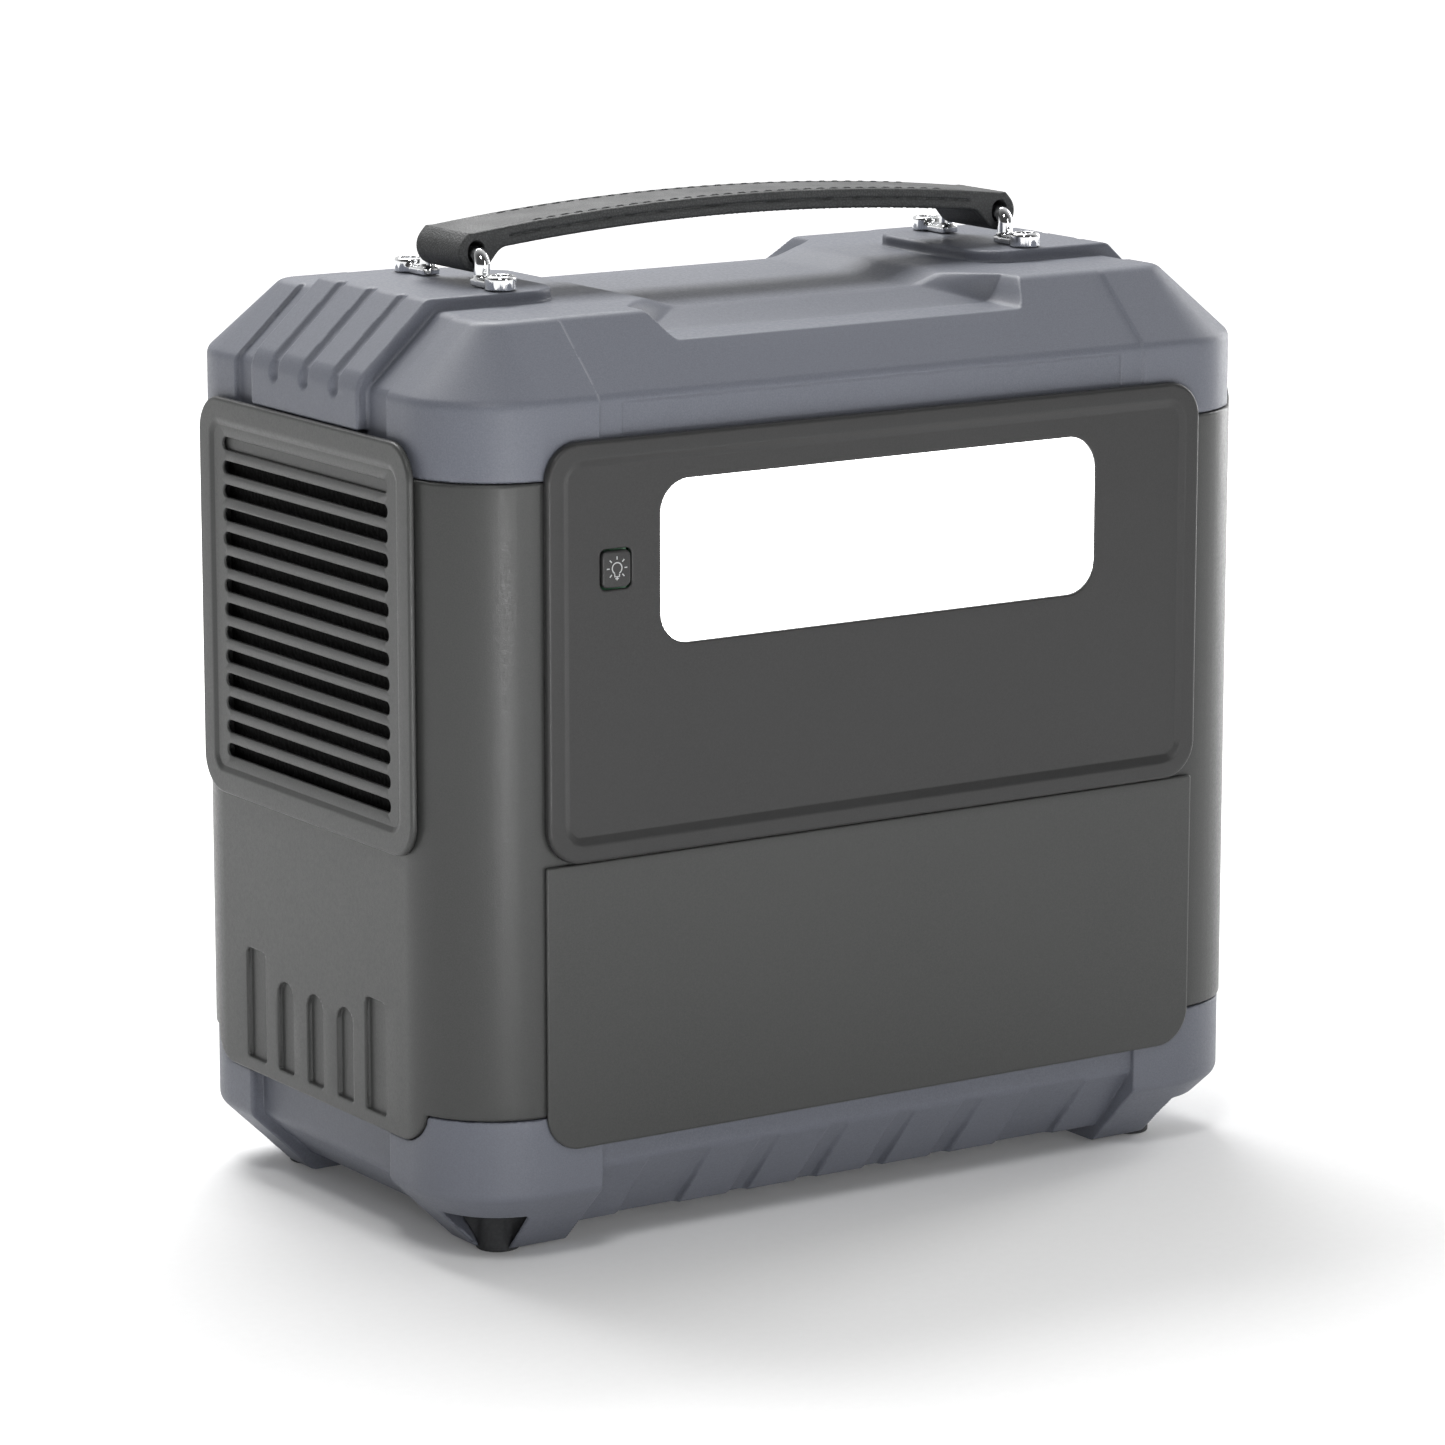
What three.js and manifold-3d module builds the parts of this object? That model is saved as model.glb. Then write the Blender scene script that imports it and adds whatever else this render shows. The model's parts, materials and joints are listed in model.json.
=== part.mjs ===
// Portable power station: a boxy battery case with slate caps, a lamp panel, side grilles and a strap handle.
// Millimetres, +Z up. The lamp faces -Y, the sockets face +Y, the grilles face -X and +X.
// The origin is on the floor, under the middle of the case.
import * as THREE from 'three';
import { ConvexGeometry } from 'three/addons/geometries/ConvexGeometry.js';
import { mergeVertices } from 'three/addons/utils/BufferGeometryUtils.js';
import Module from 'manifold-3d';

const wasm = await Module();
wasm.setup();

// ---- driving dimensions ----------------------------------------------------------------------------------

const GAP = 0.3;                    // clearance between neighbouring pieces
const CASE_X = 155;                 // half length of the case at its corner blocks
const CASE_Y = 90.5;                // half width of the case at its corner blocks
const CORNER = 32;                  // radius of the case's upright corners
const WALL = 3;

const FOOT_H = 0.7;                 // how far the rubber feet stand below the bottom cover
const SEAM_LOW = 48.7;              // bottom cover to main shell
const SEAM_HIGH = 249.2;            // main shell to top cover
const CHAMFER_LOW = 23.2;           // where the bottom cover starts to slope in
const CHAMFER_HIGH = 273;           // where the top cover starts to slope in
const DECK = 295.2;                 // flat top of the case
const INSET = 24.2;                 // how far the slopes run in
const PAD_TOP = 299.1;              // raised pads that carry the handle
const PAD_Y = 34;                   // half width of the pads and of the bridges below them
const PAD_END = 81;                 // inner end of each pad
const BRIDGE_X = 157;               // outer face of the bridges on the grille sides
const BLOCK_X = 104;                // inner end of the corner blocks on the long sides
const BLOCK_Y = 47.8;               // inner end of the corner blocks on the grille sides
const TROUGH = 291.6;               // floor of the hand trough
const LEDGE = 286.4;                // narrow ledges beside the trough
const RIB_PITCH = 26.5;             // ribs under the long sides
const RIB_W = 18.7;
const RIB_TOP = 29.7;
const MIDDLE_Z = 6.3;                // underside of the bottom cover between its corner blocks

const PANEL_X = 125;                // half width of the panels on the long sides
const PANEL_Z = [129, 260.7];
const GRILLE_Y = 67;                // half width of the panels on the grille sides
const GRILLE_Z = [130, 259.9];
const PANEL_R = 12;
const PANEL_IN = CASE_Y + GAP;      // back of the panels on the long sides
const PANEL_OUT = 93.6;
const FIELD = 92.4;                 // recessed middle of those panels
const SKIRT_OUT = 92;
const SKIRT_Z = [37.7, 128.7];
const SHELL_X = 156;                // the shell stands a little proud of the covers on the grille sides
const GRILLE_IN = SHELL_X + GAP;
const GRILLE_OUT = 158.4;
const TAB_Z = 39;                   // the shell reaches down over the bottom cover as a tab
const TAB_T = 2.2;
const RECESS_PITCH = 19.3;          // upright recesses that decorate the shell below each grille
const RECESS_LOW = 43.6;
const RECESS_DEPTH = 1.7;
const SLOTS = 14;
const SLOT_PITCH = 7.715;
const SLOT_H = 4.2;
const SLOT_Y = 52.5;                // half length of a slot
const SLOT_TOP = 245.2;             // middle of the highest slot

const WINDOW_X = 83.5;              // half width of the lamp window
const WINDOW_Z = [194.5, 246];
const WINDOW_R = 10.5;
const BUTTON = { x: -99.75, z: 220.1, w: 10.5, h: 11.7, r: 2 };

const POST_X = 101.5;               // handle brackets
const POST_Y = 16.8;
const ROD_R = 2.6;
const ROD_Z = 308.9;
const EYE_Y = 28;
const EYE_R = 5;
const STRAP_W = 27.6;
const STRAP_END = { x: POST_X, z: 309.5, r: 6.3 };
const STRAP_TOP = 321.8;
const STRAP_T = 6.4;

const FAN = { x: 123, z: 195, size: 92, depth: 25, bore: 43, hub: 17, blade: 41 };
// a rubber foot sits in a notch in each corner: a rib that reaches the floor, in front of a tapering plate
const FOOT = { out: 2.4, r: 7, plateIn: 3.6, plateOut: 7, low: FOOT_H, high: 15.3, lowHalf: 4, highHalf: 13.4 };

// ---- solids ----------------------------------------------------------------------------------------------

function solid(geometry) {
  const bare = geometry.index ? geometry.toNonIndexed() : geometry.clone();
  bare.deleteAttribute('normal');
  bare.deleteAttribute('uv');
  const merged = mergeVertices(bare, 1e-4);
  return new wasm.Manifold(new wasm.Mesh({
    numProp: 3,
    vertProperties: new Float32Array(merged.attributes.position.array),
    triVerts: new Uint32Array(merged.index.array),
  }));
}

function geometryOf(manifold) {
  const mesh = manifold.getMesh();
  const geometry = new THREE.BufferGeometry();
  geometry.setAttribute('position', new THREE.BufferAttribute(mesh.vertProperties, 3));
  geometry.setIndex(new THREE.BufferAttribute(mesh.triVerts, 1));
  geometry.computeVertexNormals();
  return geometry;
}

const join = (first, ...others) => others.reduce((sum, other) => sum.add(other), first);
const cut = (first, ...others) => others.reduce((rest, other) => rest.subtract(other), first);

function box(x, y, z) {
  const geometry = new THREE.BoxGeometry(x[1] - x[0], y[1] - y[0], z[1] - z[0]);
  return solid(geometry.translate((x[0] + x[1]) / 2, (y[0] + y[1]) / 2, (z[0] + z[1]) / 2));
}

function polygon(points) {
  return new THREE.Shape(points.map(([a, b]) => new THREE.Vector2(a, b)));
}

function roundedRect(a, b, radii) {
  const [lowR, highR] = Array.isArray(radii) ? radii : [radii, radii];
  const shape = new THREE.Shape();
  shape.moveTo(a[0] + lowR, b[0]);
  shape.lineTo(a[1] - lowR, b[0]);
  if (lowR > 0) shape.absarc(a[1] - lowR, b[0] + lowR, lowR, -Math.PI / 2, 0);
  shape.lineTo(a[1], b[1] - highR);
  if (highR > 0) shape.absarc(a[1] - highR, b[1] - highR, highR, 0, Math.PI / 2);
  shape.lineTo(a[0] + highR, b[1]);
  if (highR > 0) shape.absarc(a[0] + highR, b[1] - highR, highR, Math.PI / 2, Math.PI);
  shape.lineTo(a[0], b[0] + lowR);
  if (lowR > 0) shape.absarc(a[0] + lowR, b[0] + lowR, lowR, Math.PI, 1.5 * Math.PI);
  return shape;
}

function extruded(shape, depth, arcSteps) {
  return new THREE.ExtrudeGeometry(shape, { depth, bevelEnabled: false, curveSegments: arcSteps });
}

// an outline drawn in x and z, reaching from y[0] to y[1]
function alongY(shape, y, arcSteps = 3) {
  return solid(extruded(shape, y[1] - y[0], arcSteps).rotateX(Math.PI / 2).translate(0, y[1], 0));
}

// an outline drawn in y and z, reaching from x[0] to x[1]
function alongX(shape, x, arcSteps = 3) {
  const turn = new THREE.Matrix4().makeBasis(
    new THREE.Vector3(0, 1, 0), new THREE.Vector3(0, 0, 1), new THREE.Vector3(1, 0, 0));
  return solid(extruded(shape, x[1] - x[0], arcSteps).applyMatrix4(turn).translate(x[0], 0, 0));
}

// an outline drawn in x and y, reaching from z[0] to z[1]
function alongZ(shape, z, arcSteps = 5) {
  return solid(extruded(shape, z[1] - z[0], arcSteps).translate(0, 0, z[0]));
}

function rodZ(x, y, radius, z, sides = 12) {
  const geometry = new THREE.CylinderGeometry(radius, radius, z[1] - z[0], sides).rotateX(Math.PI / 2);
  return solid(geometry.translate(x, y, (z[0] + z[1]) / 2));
}

function rodY(x, z, radius, y, sides = 12) {
  const geometry = new THREE.CylinderGeometry(radius, radius, y[1] - y[0], sides);
  return solid(geometry.translate(x, (y[0] + y[1]) / 2, z));
}

function rodX(y, z, radius, x, sides = 12) {
  const geometry = new THREE.CylinderGeometry(radius, radius, x[1] - x[0], sides).rotateZ(Math.PI / 2);
  return solid(geometry.translate((x[0] + x[1]) / 2, y, z));
}

// the corner points of a rounded rectangle at one height
function ring(halfX, halfY, radius, z, arcSteps = 5) {
  const points = [];
  for (const [sx, sy, start] of [[1, 1, 0], [-1, 1, 1], [-1, -1, 2], [1, -1, 3]]) {
    for (let step = 0; step <= arcSteps; step += 1) {
      const angle = (start + step / arcSteps) * Math.PI / 2;
      points.push(new THREE.Vector3(
        sx * (halfX - radius) + radius * Math.cos(angle),
        sy * (halfY - radius) + radius * Math.sin(angle), z));
    }
  }
  return points;
}

// a straight band with a sloping end: the outline of both covers
function capBlock(halfX, halfY, radius, bandEnd, slopeStart, flat, inset = INSET) {
  const tipRadius = Math.max(radius - inset, 5);
  return solid(new ConvexGeometry([
    ...ring(halfX, halfY, radius, bandEnd),
    ...ring(halfX, halfY, radius, slopeStart),
    ...ring(halfX - inset, halfY - inset, tipRadius, flat),
  ]));
}

const SIDES = [-1, 1];
const FAR = 400;
const EVERYWHERE = [-FAR, FAR];

// mirror an interval to the side that the sign names
const span = (side, near, far) => (side > 0 ? [near, far] : [-far, -near]);

// ---- top cover -------------------------------------------------------------------------------------------

function cornerBoxes(z) {
  const boxes = [];
  for (const sx of SIDES) {
    for (const sy of SIDES) boxes.push(box(span(sx, BLOCK_X, FAR), span(sy, BLOCK_Y, FAR), z));
  }
  return join(...boxes);
}

// bridge and pad in one: it climbs the slope from the grille and ends in a rounded pad on the deck
function bridge(side) {
  const slopeTop = PAD_TOP - 275.7;
  const profile = polygon([
    [140, GRILLE_Z[1] + GAP], [BRIDGE_X, GRILLE_Z[1] + GAP], [BRIDGE_X, 275.7],
    [BRIDGE_X - slopeTop * 1.09, PAD_TOP], [PAD_END, PAD_TOP], [PAD_END, DECK - 2], [120, DECK - 2],
  ].map(([x, z]) => [side * x, z]));
  const plan = new THREE.Shape();
  plan.moveTo(side * FAR, -PAD_Y);
  plan.lineTo(side * FAR, PAD_Y);
  plan.lineTo(side * (PAD_END + 15), PAD_Y);
  plan.quadraticCurveTo(side * PAD_END, PAD_Y, side * PAD_END, 19);
  plan.lineTo(side * PAD_END, -19);
  plan.quadraticCurveTo(side * PAD_END, -PAD_Y, side * (PAD_END + 15), -PAD_Y);
  return alongY(profile, [-PAD_Y, PAD_Y]).intersect(alongZ(plan, [200, 310], 4));
}

// three grooves run up each bridge and fade out on the pad
function bridgeGrooves(side) {
  const grooves = [];
  for (const y of [-19, 0, 19]) {
    const profile = polygon([
      [FAR, 268.2], [BRIDGE_X - 1.6, 270], [BRIDGE_X - 1.6, 275], [BRIDGE_X - 27.5, PAD_TOP], [FAR, PAD_TOP],
    ].map(([x, z]) => [side * x, z]));
    grooves.push(alongY(profile, [y - 3, y + 3]));
  }
  return join(...grooves);
}

function trough() {
  const floor = polygon([[-62, 310], [-62, DECK], [-56, DECK - 1], [-49, TROUGH + 1], [-43, TROUGH],
    [43, TROUGH], [49, TROUGH + 1], [56, DECK - 1], [62, DECK], [62, 310]]);
  return alongY(floor, [-PAD_Y - 10, PAD_Y + 10]);
}

function ledge(side) {
  const length = polygon([[-74, 310], [-74, DECK], [-71, DECK - 1.5], [-68, LEDGE + 1.5], [-65, LEDGE],
    [65, LEDGE], [68, LEDGE + 1.5], [71, DECK - 1.5], [74, DECK], [74, 310]]);
  const section = polygon([[35, 310], [35, DECK], [43, TROUGH], [56, LEDGE], [FAR, LEDGE], [FAR, 310]]
    .map(([y, z]) => [side * y, z]));
  return alongY(length, span(side, 35, FAR)).intersect(alongX(section, EVERYWHERE));
}

function topCover() {
  const outer = join(
    capBlock(CASE_X - 2, CASE_Y - 1, CORNER, SEAM_HIGH, CHAMFER_HIGH, DECK),
    capBlock(CASE_X, CASE_Y, CORNER, SEAM_HIGH, CHAMFER_HIGH, DECK).intersect(cornerBoxes([200, 310])),
    bridge(-1), bridge(1));
  const hollow = capBlock(CASE_X - 5, CASE_Y - 4, CORNER - 4, SEAM_HIGH - 1, 270, 282, 13);
  const bosses = [];
  const holes = [];
  for (const x of SIDES) {
    for (const y of SIDES) {
      bosses.push(rodZ(x * POST_X, y * EYE_Y, 4.5, [272, 290], 8));
      holes.push(rodZ(x * POST_X, y * EYE_Y, 2.1, [280, 310], 8));
    }
  }
  const shell = cut(outer, hollow, trough(), ledge(-1), ledge(1), bridgeGrooves(-1), bridgeGrooves(1));
  return cut(join(shell, ...bosses), ...holes);
}

// ---- bottom cover ----------------------------------------------------------------------------------------

// the ribs' outline seen along X: their faces start to slope in higher up than the corner blocks do
function ribSection() {
  const y = CASE_Y - 2;
  return polygon([[-y, FAR], [-y, RIB_TOP], [19 - y, MIDDLE_Z], [y - 19, MIDDLE_Z], [y, RIB_TOP], [y, FAR]]);
}

// the hollows between the ribs, with a wider one at each end
function ribHollows(side) {
  const section = polygon([[FAR, RIB_TOP], [CASE_Y - 2.5, RIB_TOP], [64.2, 4], [64.2, -5], [FAR, -5]]
    .map(([y, z]) => [side * y, z]));
  const hollows = [];
  for (let index = 0; index < 4; index += 1) {
    const x = (index - 1.5) * RIB_PITCH;
    const half = (RIB_PITCH - RIB_W) / 2;
    hollows.push(alongX(section, [x - half, x + half]));
  }
  for (const end of SIDES) hollows.push(alongX(section, span(end, 2 * RIB_PITCH + RIB_W / 2, 86)));
  return join(...hollows);
}

// a foot's own directions: drawn at the origin with its outward side along -Y, then turned to its corner
function toCorner(geometry, sx, sy) {
  const turn = Math.atan2(sy, sx) + Math.PI / 2;
  return geometry.rotateZ(turn).translate(sx * (CASE_X - CORNER), sy * (CASE_Y - CORNER), 0);
}

function footPlate(sx, sy, out, grow) {
  const { low, high, lowHalf, highHalf } = FOOT;
  const bottom = low - (grow > 0 ? 2 : 0);
  const shape = polygon([[-lowHalf - grow, bottom], [lowHalf + grow, bottom],
    [highHalf + grow, high + grow], [-highHalf - grow, high + grow]]);
  const plate = extruded(shape, out[1] - out[0], 1).rotateX(Math.PI / 2).translate(0, -out[0], 0);
  return solid(toCorner(plate, sx, sy));
}

function footRod(sx, sy, radius, z, sides) {
  const rod = new THREE.CylinderGeometry(radius, radius, z[1] - z[0], sides).rotateX(Math.PI / 2);
  return solid(toCorner(rod.translate(0, -FOOT.out, (z[0] + z[1]) / 2), sx, sy));
}

function bottomCover() {
  const floorZ = FOOT_H;
  const middle = capBlock(CASE_X - 4.6, CASE_Y - 2, CORNER, SEAM_LOW, CHAMFER_LOW, MIDDLE_Z, 19);
  const outer = join(
    middle.intersect(alongX(ribSection(), EVERYWHERE)),
    capBlock(CASE_X, CASE_Y, CORNER, SEAM_LOW, CHAMFER_LOW, floorZ, 23).intersect(cornerBoxes([0, 60])));
  const corners = [];
  const cuts = [];
  for (const sx of SIDES) {
    for (const sy of SIDES) {
      corners.push(box(span(sx, 112, FAR), span(sy, 44, FAR), [-10, 26]));
      cuts.push(footPlate(sx, sy, [FOOT.plateIn - GAP, 40], GAP));
      cuts.push(footRod(sx, sy, FOOT.r + GAP, [-1, FOOT.high + GAP], 16));
      cuts.push(footRod(sx, sy, 2.3, [-1, 30], 8));
    }
  }
  const hollow = capBlock(CASE_X - 7.5, CASE_Y - 6.5, CORNER - 5, SEAM_LOW + 1, 30, 12, 19);
  return cut(outer, cut(hollow, ...corners), ribHollows(-1), ribHollows(1), tabRoom(), ...cuts);
}

// room for the main shell's two tabs
function tabRoom() {
  const y = [-GRILLE_Y - GAP, GRILLE_Y + GAP];
  const shape = alongX(roundedRect(y, [TAB_Z - GAP, FAR], [PANEL_R + GAP, 0]), EVERYWHERE);
  const half = SHELL_X - TAB_T - GAP;
  const halfY = CASE_Y - 0.3 - TAB_T - GAP;
  const inner = roundedRect([-half, half], [-halfY, halfY], CORNER - TAB_T - GAP);
  return cut(shape, alongZ(inner, EVERYWHERE));
}

function foot(sx, sy) {
  const body = join(
    footRod(sx, sy, FOOT.r, [0, FOOT.high], 16),
    footPlate(sx, sy, [FOOT.plateIn, FOOT.plateOut], 0));
  return cut(body, footRod(sx, sy, 4.3, [-1, 3.5], 10), footRod(sx, sy, 2.3, [-1, 30], 8));
}

function footScrew(sx, sy) {
  return join(footRod(sx, sy, 4, [1, 3.2], 10), footRod(sx, sy, 1.9, [3, 24], 6));
}

// ---- main shell and its panels ---------------------------------------------------------------------------

function mainShell() {
  const z = [SEAM_LOW + GAP, SEAM_HIGH - GAP];
  const outline = (half, halfY, radius) => roundedRect([-half, half], [-halfY, halfY], radius);
  const tube = cut(
    alongZ(outline(SHELL_X, CASE_Y - 0.3, CORNER), z),
    alongZ(outline(SHELL_X - WALL, CASE_Y - WALL, CORNER - WALL), [z[0] - 1, z[1] + 1]));
  const mouths = [
    box([-112, 112], span(-1, 80, 100), [142, 260]),
    box([-112, 112], span(1, 80, 100), [142, 260]),
    box(span(-1, 140, 160), [-56, 56], [139, 260]),
    box(span(1, 140, 160), [-56, 56], [139, 260]),
  ];
  const sheet = cut(
    alongZ(outline(SHELL_X, CASE_Y - 0.3, CORNER), [TAB_Z, 60]),
    alongZ(outline(SHELL_X - TAB_T, CASE_Y - 0.3 - TAB_T, CORNER - TAB_T), [TAB_Z - 1, 61]));
  const tabShape = alongX(roundedRect([-GRILLE_Y, GRILLE_Y], [TAB_Z, 60], [PANEL_R, 0]), EVERYWHERE);
  const tabs = [sheet.intersect(tabShape)];
  return cut(join(tube, ...tabs), ...mouths, sideRecesses(-1), sideRecesses(1));
}

// five upright recesses below each grille: the outer two are wider and reach higher
function sideRecesses(side) {
  const recesses = [];
  for (const place of [-2, -1, 0, 1, 2]) {
    const outer = Math.abs(place) === 2;
    const half = outer ? 6.2 : 5;
    const y = place * RECESS_PITCH;
    const shape = roundedRect([y - half, y + half], [RECESS_LOW, outer ? 80.4 : 73.4], [0.6, outer ? 1.5 : 4.4]);
    recesses.push(alongX(shape, span(side, SHELL_X - RECESS_DEPTH, 160), 2));
  }
  return join(...recesses);
}

// a framed plate for the long sides; the middle is set back inside a raised rim
function framedPlate(side) {
  const plate = alongY(roundedRect([-PANEL_X, PANEL_X], PANEL_Z, PANEL_R), span(side, PANEL_IN, PANEL_OUT));
  const field = roundedRect([8 - PANEL_X, PANEL_X - 8], [PANEL_Z[0] + 8, PANEL_Z[1] - 8], 5);
  return cut(plate, alongY(field, span(side, FIELD, 100)));
}

function lampPanel() {
  const mouth = roundedRect([-WINDOW_X, WINDOW_X], WINDOW_Z, WINDOW_R);
  return cut(framedPlate(-1), alongY(mouth, [-100, -80]), alongY(buttonOutline(GAP), [-100, -80]));
}

function buttonOutline(grow) {
  const { x, z, w, h, r } = BUTTON;
  return roundedRect([x - w / 2 - grow, x + w / 2 + grow], [z - h / 2 - grow, z + h / 2 + grow], r);
}

function lampButton() {
  const stem = box([BUTTON.x - 2, BUTTON.x + 2], [-91, -86], [BUTTON.z - 2, BUTTON.z + 2]);
  return join(alongY(buttonOutline(-0.1), [-92.9, -90]), stem);
}

function lampSwitchBoard() {
  const board = box([BUTTON.x - 9, BUTTON.x + 9], [-83.6, -82], [BUTTON.z - 14, BUTTON.z + 14]);
  return join(board, box([BUTTON.x - 3, BUTTON.x + 3], [-84.6, -83], [BUTTON.z - 3, BUTTON.z + 3]));
}

function lampDiffuser() {
  const lens = roundedRect([GAP - WINDOW_X, WINDOW_X - GAP], [WINDOW_Z[0] + GAP, WINDOW_Z[1] - GAP], WINDOW_R);
  const flange = roundedRect([-WINDOW_X - 4, WINDOW_X + 4], [WINDOW_Z[0] - 4, SEAM_HIGH - 1], 4);
  return join(alongY(lens, [-92.2, -89.5]), alongY(flange, [-90.5, -88.5]));
}

function lampBoard() {
  const parts = [box([-82, 82], [-84.6, -83], [WINDOW_Z[0] + 2, WINDOW_Z[1] - 2])];
  for (let column = 0; column < 8; column += 1) {
    for (let row = 0; row < 2; row += 1) {
      const x = -70 + column * 20;
      const z = 209 + row * 23;
      parts.push(box([x - 1.5, x + 1.5], [-85.6, -84], [z - 1.5, z + 1.5]));
    }
  }
  return join(...parts);
}

function skirt(side) {
  const outline = roundedRect([-PANEL_X, PANEL_X], SKIRT_Z, [PANEL_R, 0]);
  return alongY(outline, span(side, PANEL_IN, SKIRT_OUT));
}

function grille(side) {
  const outline = roundedRect([-GRILLE_Y, GRILLE_Y], GRILLE_Z, PANEL_R);
  const field = roundedRect([-GRILLE_Y + 9, GRILLE_Y - 9], [GRILLE_Z[0] + 9, GRILLE_Z[1] - 9], 4);
  const slots = [];
  for (let index = 0; index < SLOTS; index += 1) {
    const z = SLOT_TOP - index * SLOT_PITCH;
    const slot = roundedRect([-SLOT_Y, SLOT_Y], [z - SLOT_H / 2, z + SLOT_H / 2], SLOT_H / 2 - 0.01);
    slots.push(alongX(slot, span(side, 150, 160), 1));
  }
  const plate = alongX(outline, span(side, GRILLE_IN, GRILLE_OUT));
  return cut(plate, alongX(field, span(side, GRILLE_OUT - 0.9, 160)), ...slots);
}

// a sheet of dark filter foam behind each grille
function dustFilter(side) {
  return box(span(side, 150.5, 153.5), [-55, 55], [140, 247.5]);
}

// ---- control side ----------------------------------------------------------------------------------------

const OUTLETS = [{ x: 53, z: 221 }, { x: 89, z: 221 }];
const OUTLET = { w: 32, h: 46, r: 4 };
const DISPLAY = { x: [-33, 33], z: [206, 246] };
const USB = { x: [-38, 38], z: [172, 194] };
const CAR = { x: -82, z: 221, r: 16, bore: 10.6 };
const DC_IN = { x: -98, z: 172, r: 8, bore: 3.9 };
const ROUND_BUTTONS = { main_button: [0, 153, 7], ac_button: [71, 178, 6], dc_button: [-68, 178, 6] };
const INSERT = [84, 92.9];           // depth of the inserts in the control panel

const around = (centre, size) => [centre - size / 2, centre + size / 2];

function controlPanel() {
  const through = [80, 100];
  const holes = OUTLETS.map(({ x, z }) => alongY(
    roundedRect(around(x, OUTLET.w + 2 * GAP), around(z, OUTLET.h + 2 * GAP), OUTLET.r), through));
  for (const area of [DISPLAY, USB]) {
    const grown = ([low, high]) => [low - GAP, high + GAP];
    holes.push(alongY(roundedRect(grown(area.x), grown(area.z), 3), through));
  }
  for (const { x, z, r } of [CAR, DC_IN]) holes.push(rodY(x, z, r + GAP, through, 16));
  for (const [x, z, r] of Object.values(ROUND_BUTTONS)) holes.push(rodY(x, z, r + GAP, through, 16));
  return cut(framedPlate(1), ...holes);
}

function acOutlet({ x, z }) {
  const body = alongY(roundedRect(around(x, OUTLET.w), around(z, OUTLET.h), OUTLET.r), INSERT);
  const holes = [
    box(around(x - 6.3, 2), [86, 100], around(z + 4, 9)),
    box(around(x + 6.3, 2), [86, 100], around(z + 4, 7.5)),
    rodY(x, z - 7.5, 2.4, [86, 100], 12),
  ];
  return cut(body, ...holes);
}

function usbBlock() {
  const body = alongY(roundedRect(USB.x, USB.z, 3), INSERT);
  const z = (USB.z[0] + USB.z[1]) / 2;
  const parts = [body];
  for (const x of [-25, -8]) parts.push(box(around(x, 12.4), [86, 100], around(z, 5)));
  for (const x of [10, 26]) parts.push(alongY(roundedRect(around(x, 8.6), around(z, 3), 1.4), [86, 100], 3));
  const tongues = [-25, -8].map((x) => box(around(x, 11), [85, 92], [z + 0.2, z + 2]));
  return join(cut(...parts), ...tongues);
}

function carSocket() {
  const sleeve = join(rodY(CAR.x, CAR.z, CAR.r, [90, 93.4], 16), rodY(CAR.x, CAR.z, 13, [55, 91], 16));
  const contact = rodY(CAR.x, CAR.z, 3, [55, 62], 12);
  return join(cut(sleeve, rodY(CAR.x, CAR.z, CAR.bore, [57, 100], 16)), contact);
}

function dcInput() {
  const body = rodY(DC_IN.x, DC_IN.z, DC_IN.r, [78, 93.4], 16);
  const pin = rodY(DC_IN.x, DC_IN.z, 0.9, [79, 91], 8);
  return join(cut(body, rodY(DC_IN.x, DC_IN.z, DC_IN.bore, [80, 100])), pin);
}

function displayWindow() {
  return alongY(roundedRect(DISPLAY.x, DISPLAY.z, 3), [90.6, 92.8]);
}

function displayModule() {
  return box([DISPLAY.x[0] - 3, DISPLAY.x[1] + 3], [83, 88.5], [DISPLAY.z[0] - 4, DISPLAY.z[1] - 1]);
}

function roundButton([x, z, r]) {
  return join(rodY(x, z, r - 0.1, [90, 93.2], 16), rodY(x, z, 2, [86, 91], 6));
}

function controlBoard() {
  const board = box([-64, 108], [79, 80.6], [144, 244]);
  const switches = Object.values(ROUND_BUTTONS)
    .filter(([x]) => x > -60)
    .map(([x, z]) => box(around(x, 6), [80, 84.4], around(z, 6)));
  return join(board, ...switches);
}

// ---- inside ----------------------------------------------------------------------------------------------

const BATTERY = { x: [-95, 95], y: [-62, 62], z: [13, 110] };
const TRAY_Z = [114, 117];
const BOARD_Z = [119, 120.6];

function batteryPack() {
  const outline = roundedRect(BATTERY.x, BATTERY.y, 8);
  return alongZ(outline, BATTERY.z, 3);
}

function batteryClamp() {
  const y = BATTERY.y[1] + GAP;
  const top = BATTERY.z[1] + GAP;
  const strap = polygon([[-y - 2, 14], [-y, 14], [-y, top], [y, top], [y, 14], [y + 2, 14],
    [y + 2, top + 2], [-y - 2, top + 2]]);
  return alongX(strap, [-14, 14]);
}

function innerTray() {
  const parts = [box([-112, 112], [-68, 68], TRAY_Z)];
  for (const x of SIDES) {
    for (const y of SIDES) parts.push(box(span(x, 100, 108), span(y, 56, 64), [12.5, TRAY_Z[0] + 1]));
  }
  return join(...parts);
}

function board(x, y) {
  const parts = [box(x, y, BOARD_Z)];
  for (const side of SIDES) parts.push(box(around((x[0] + x[1]) / 2, 12), span(side, 20, 32), [TRAY_Z[1] + GAP, 120]));
  return parts;
}

function managementBoard() {
  const parts = board([-104, -20], [-52, 52]);
  for (let index = 0; index < 4; index += 1) {
    parts.push(box([-90, -76], around(-36 + index * 24, 14), [120, 124]));
  }
  return join(...parts);
}

function inverterBoard() {
  const parts = board([-12, 104], [-56, 56]);
  for (const y of [-38, 0, 38]) parts.push(rodZ(2, y, 9, [120, 150]));
  return join(...parts);
}

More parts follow.
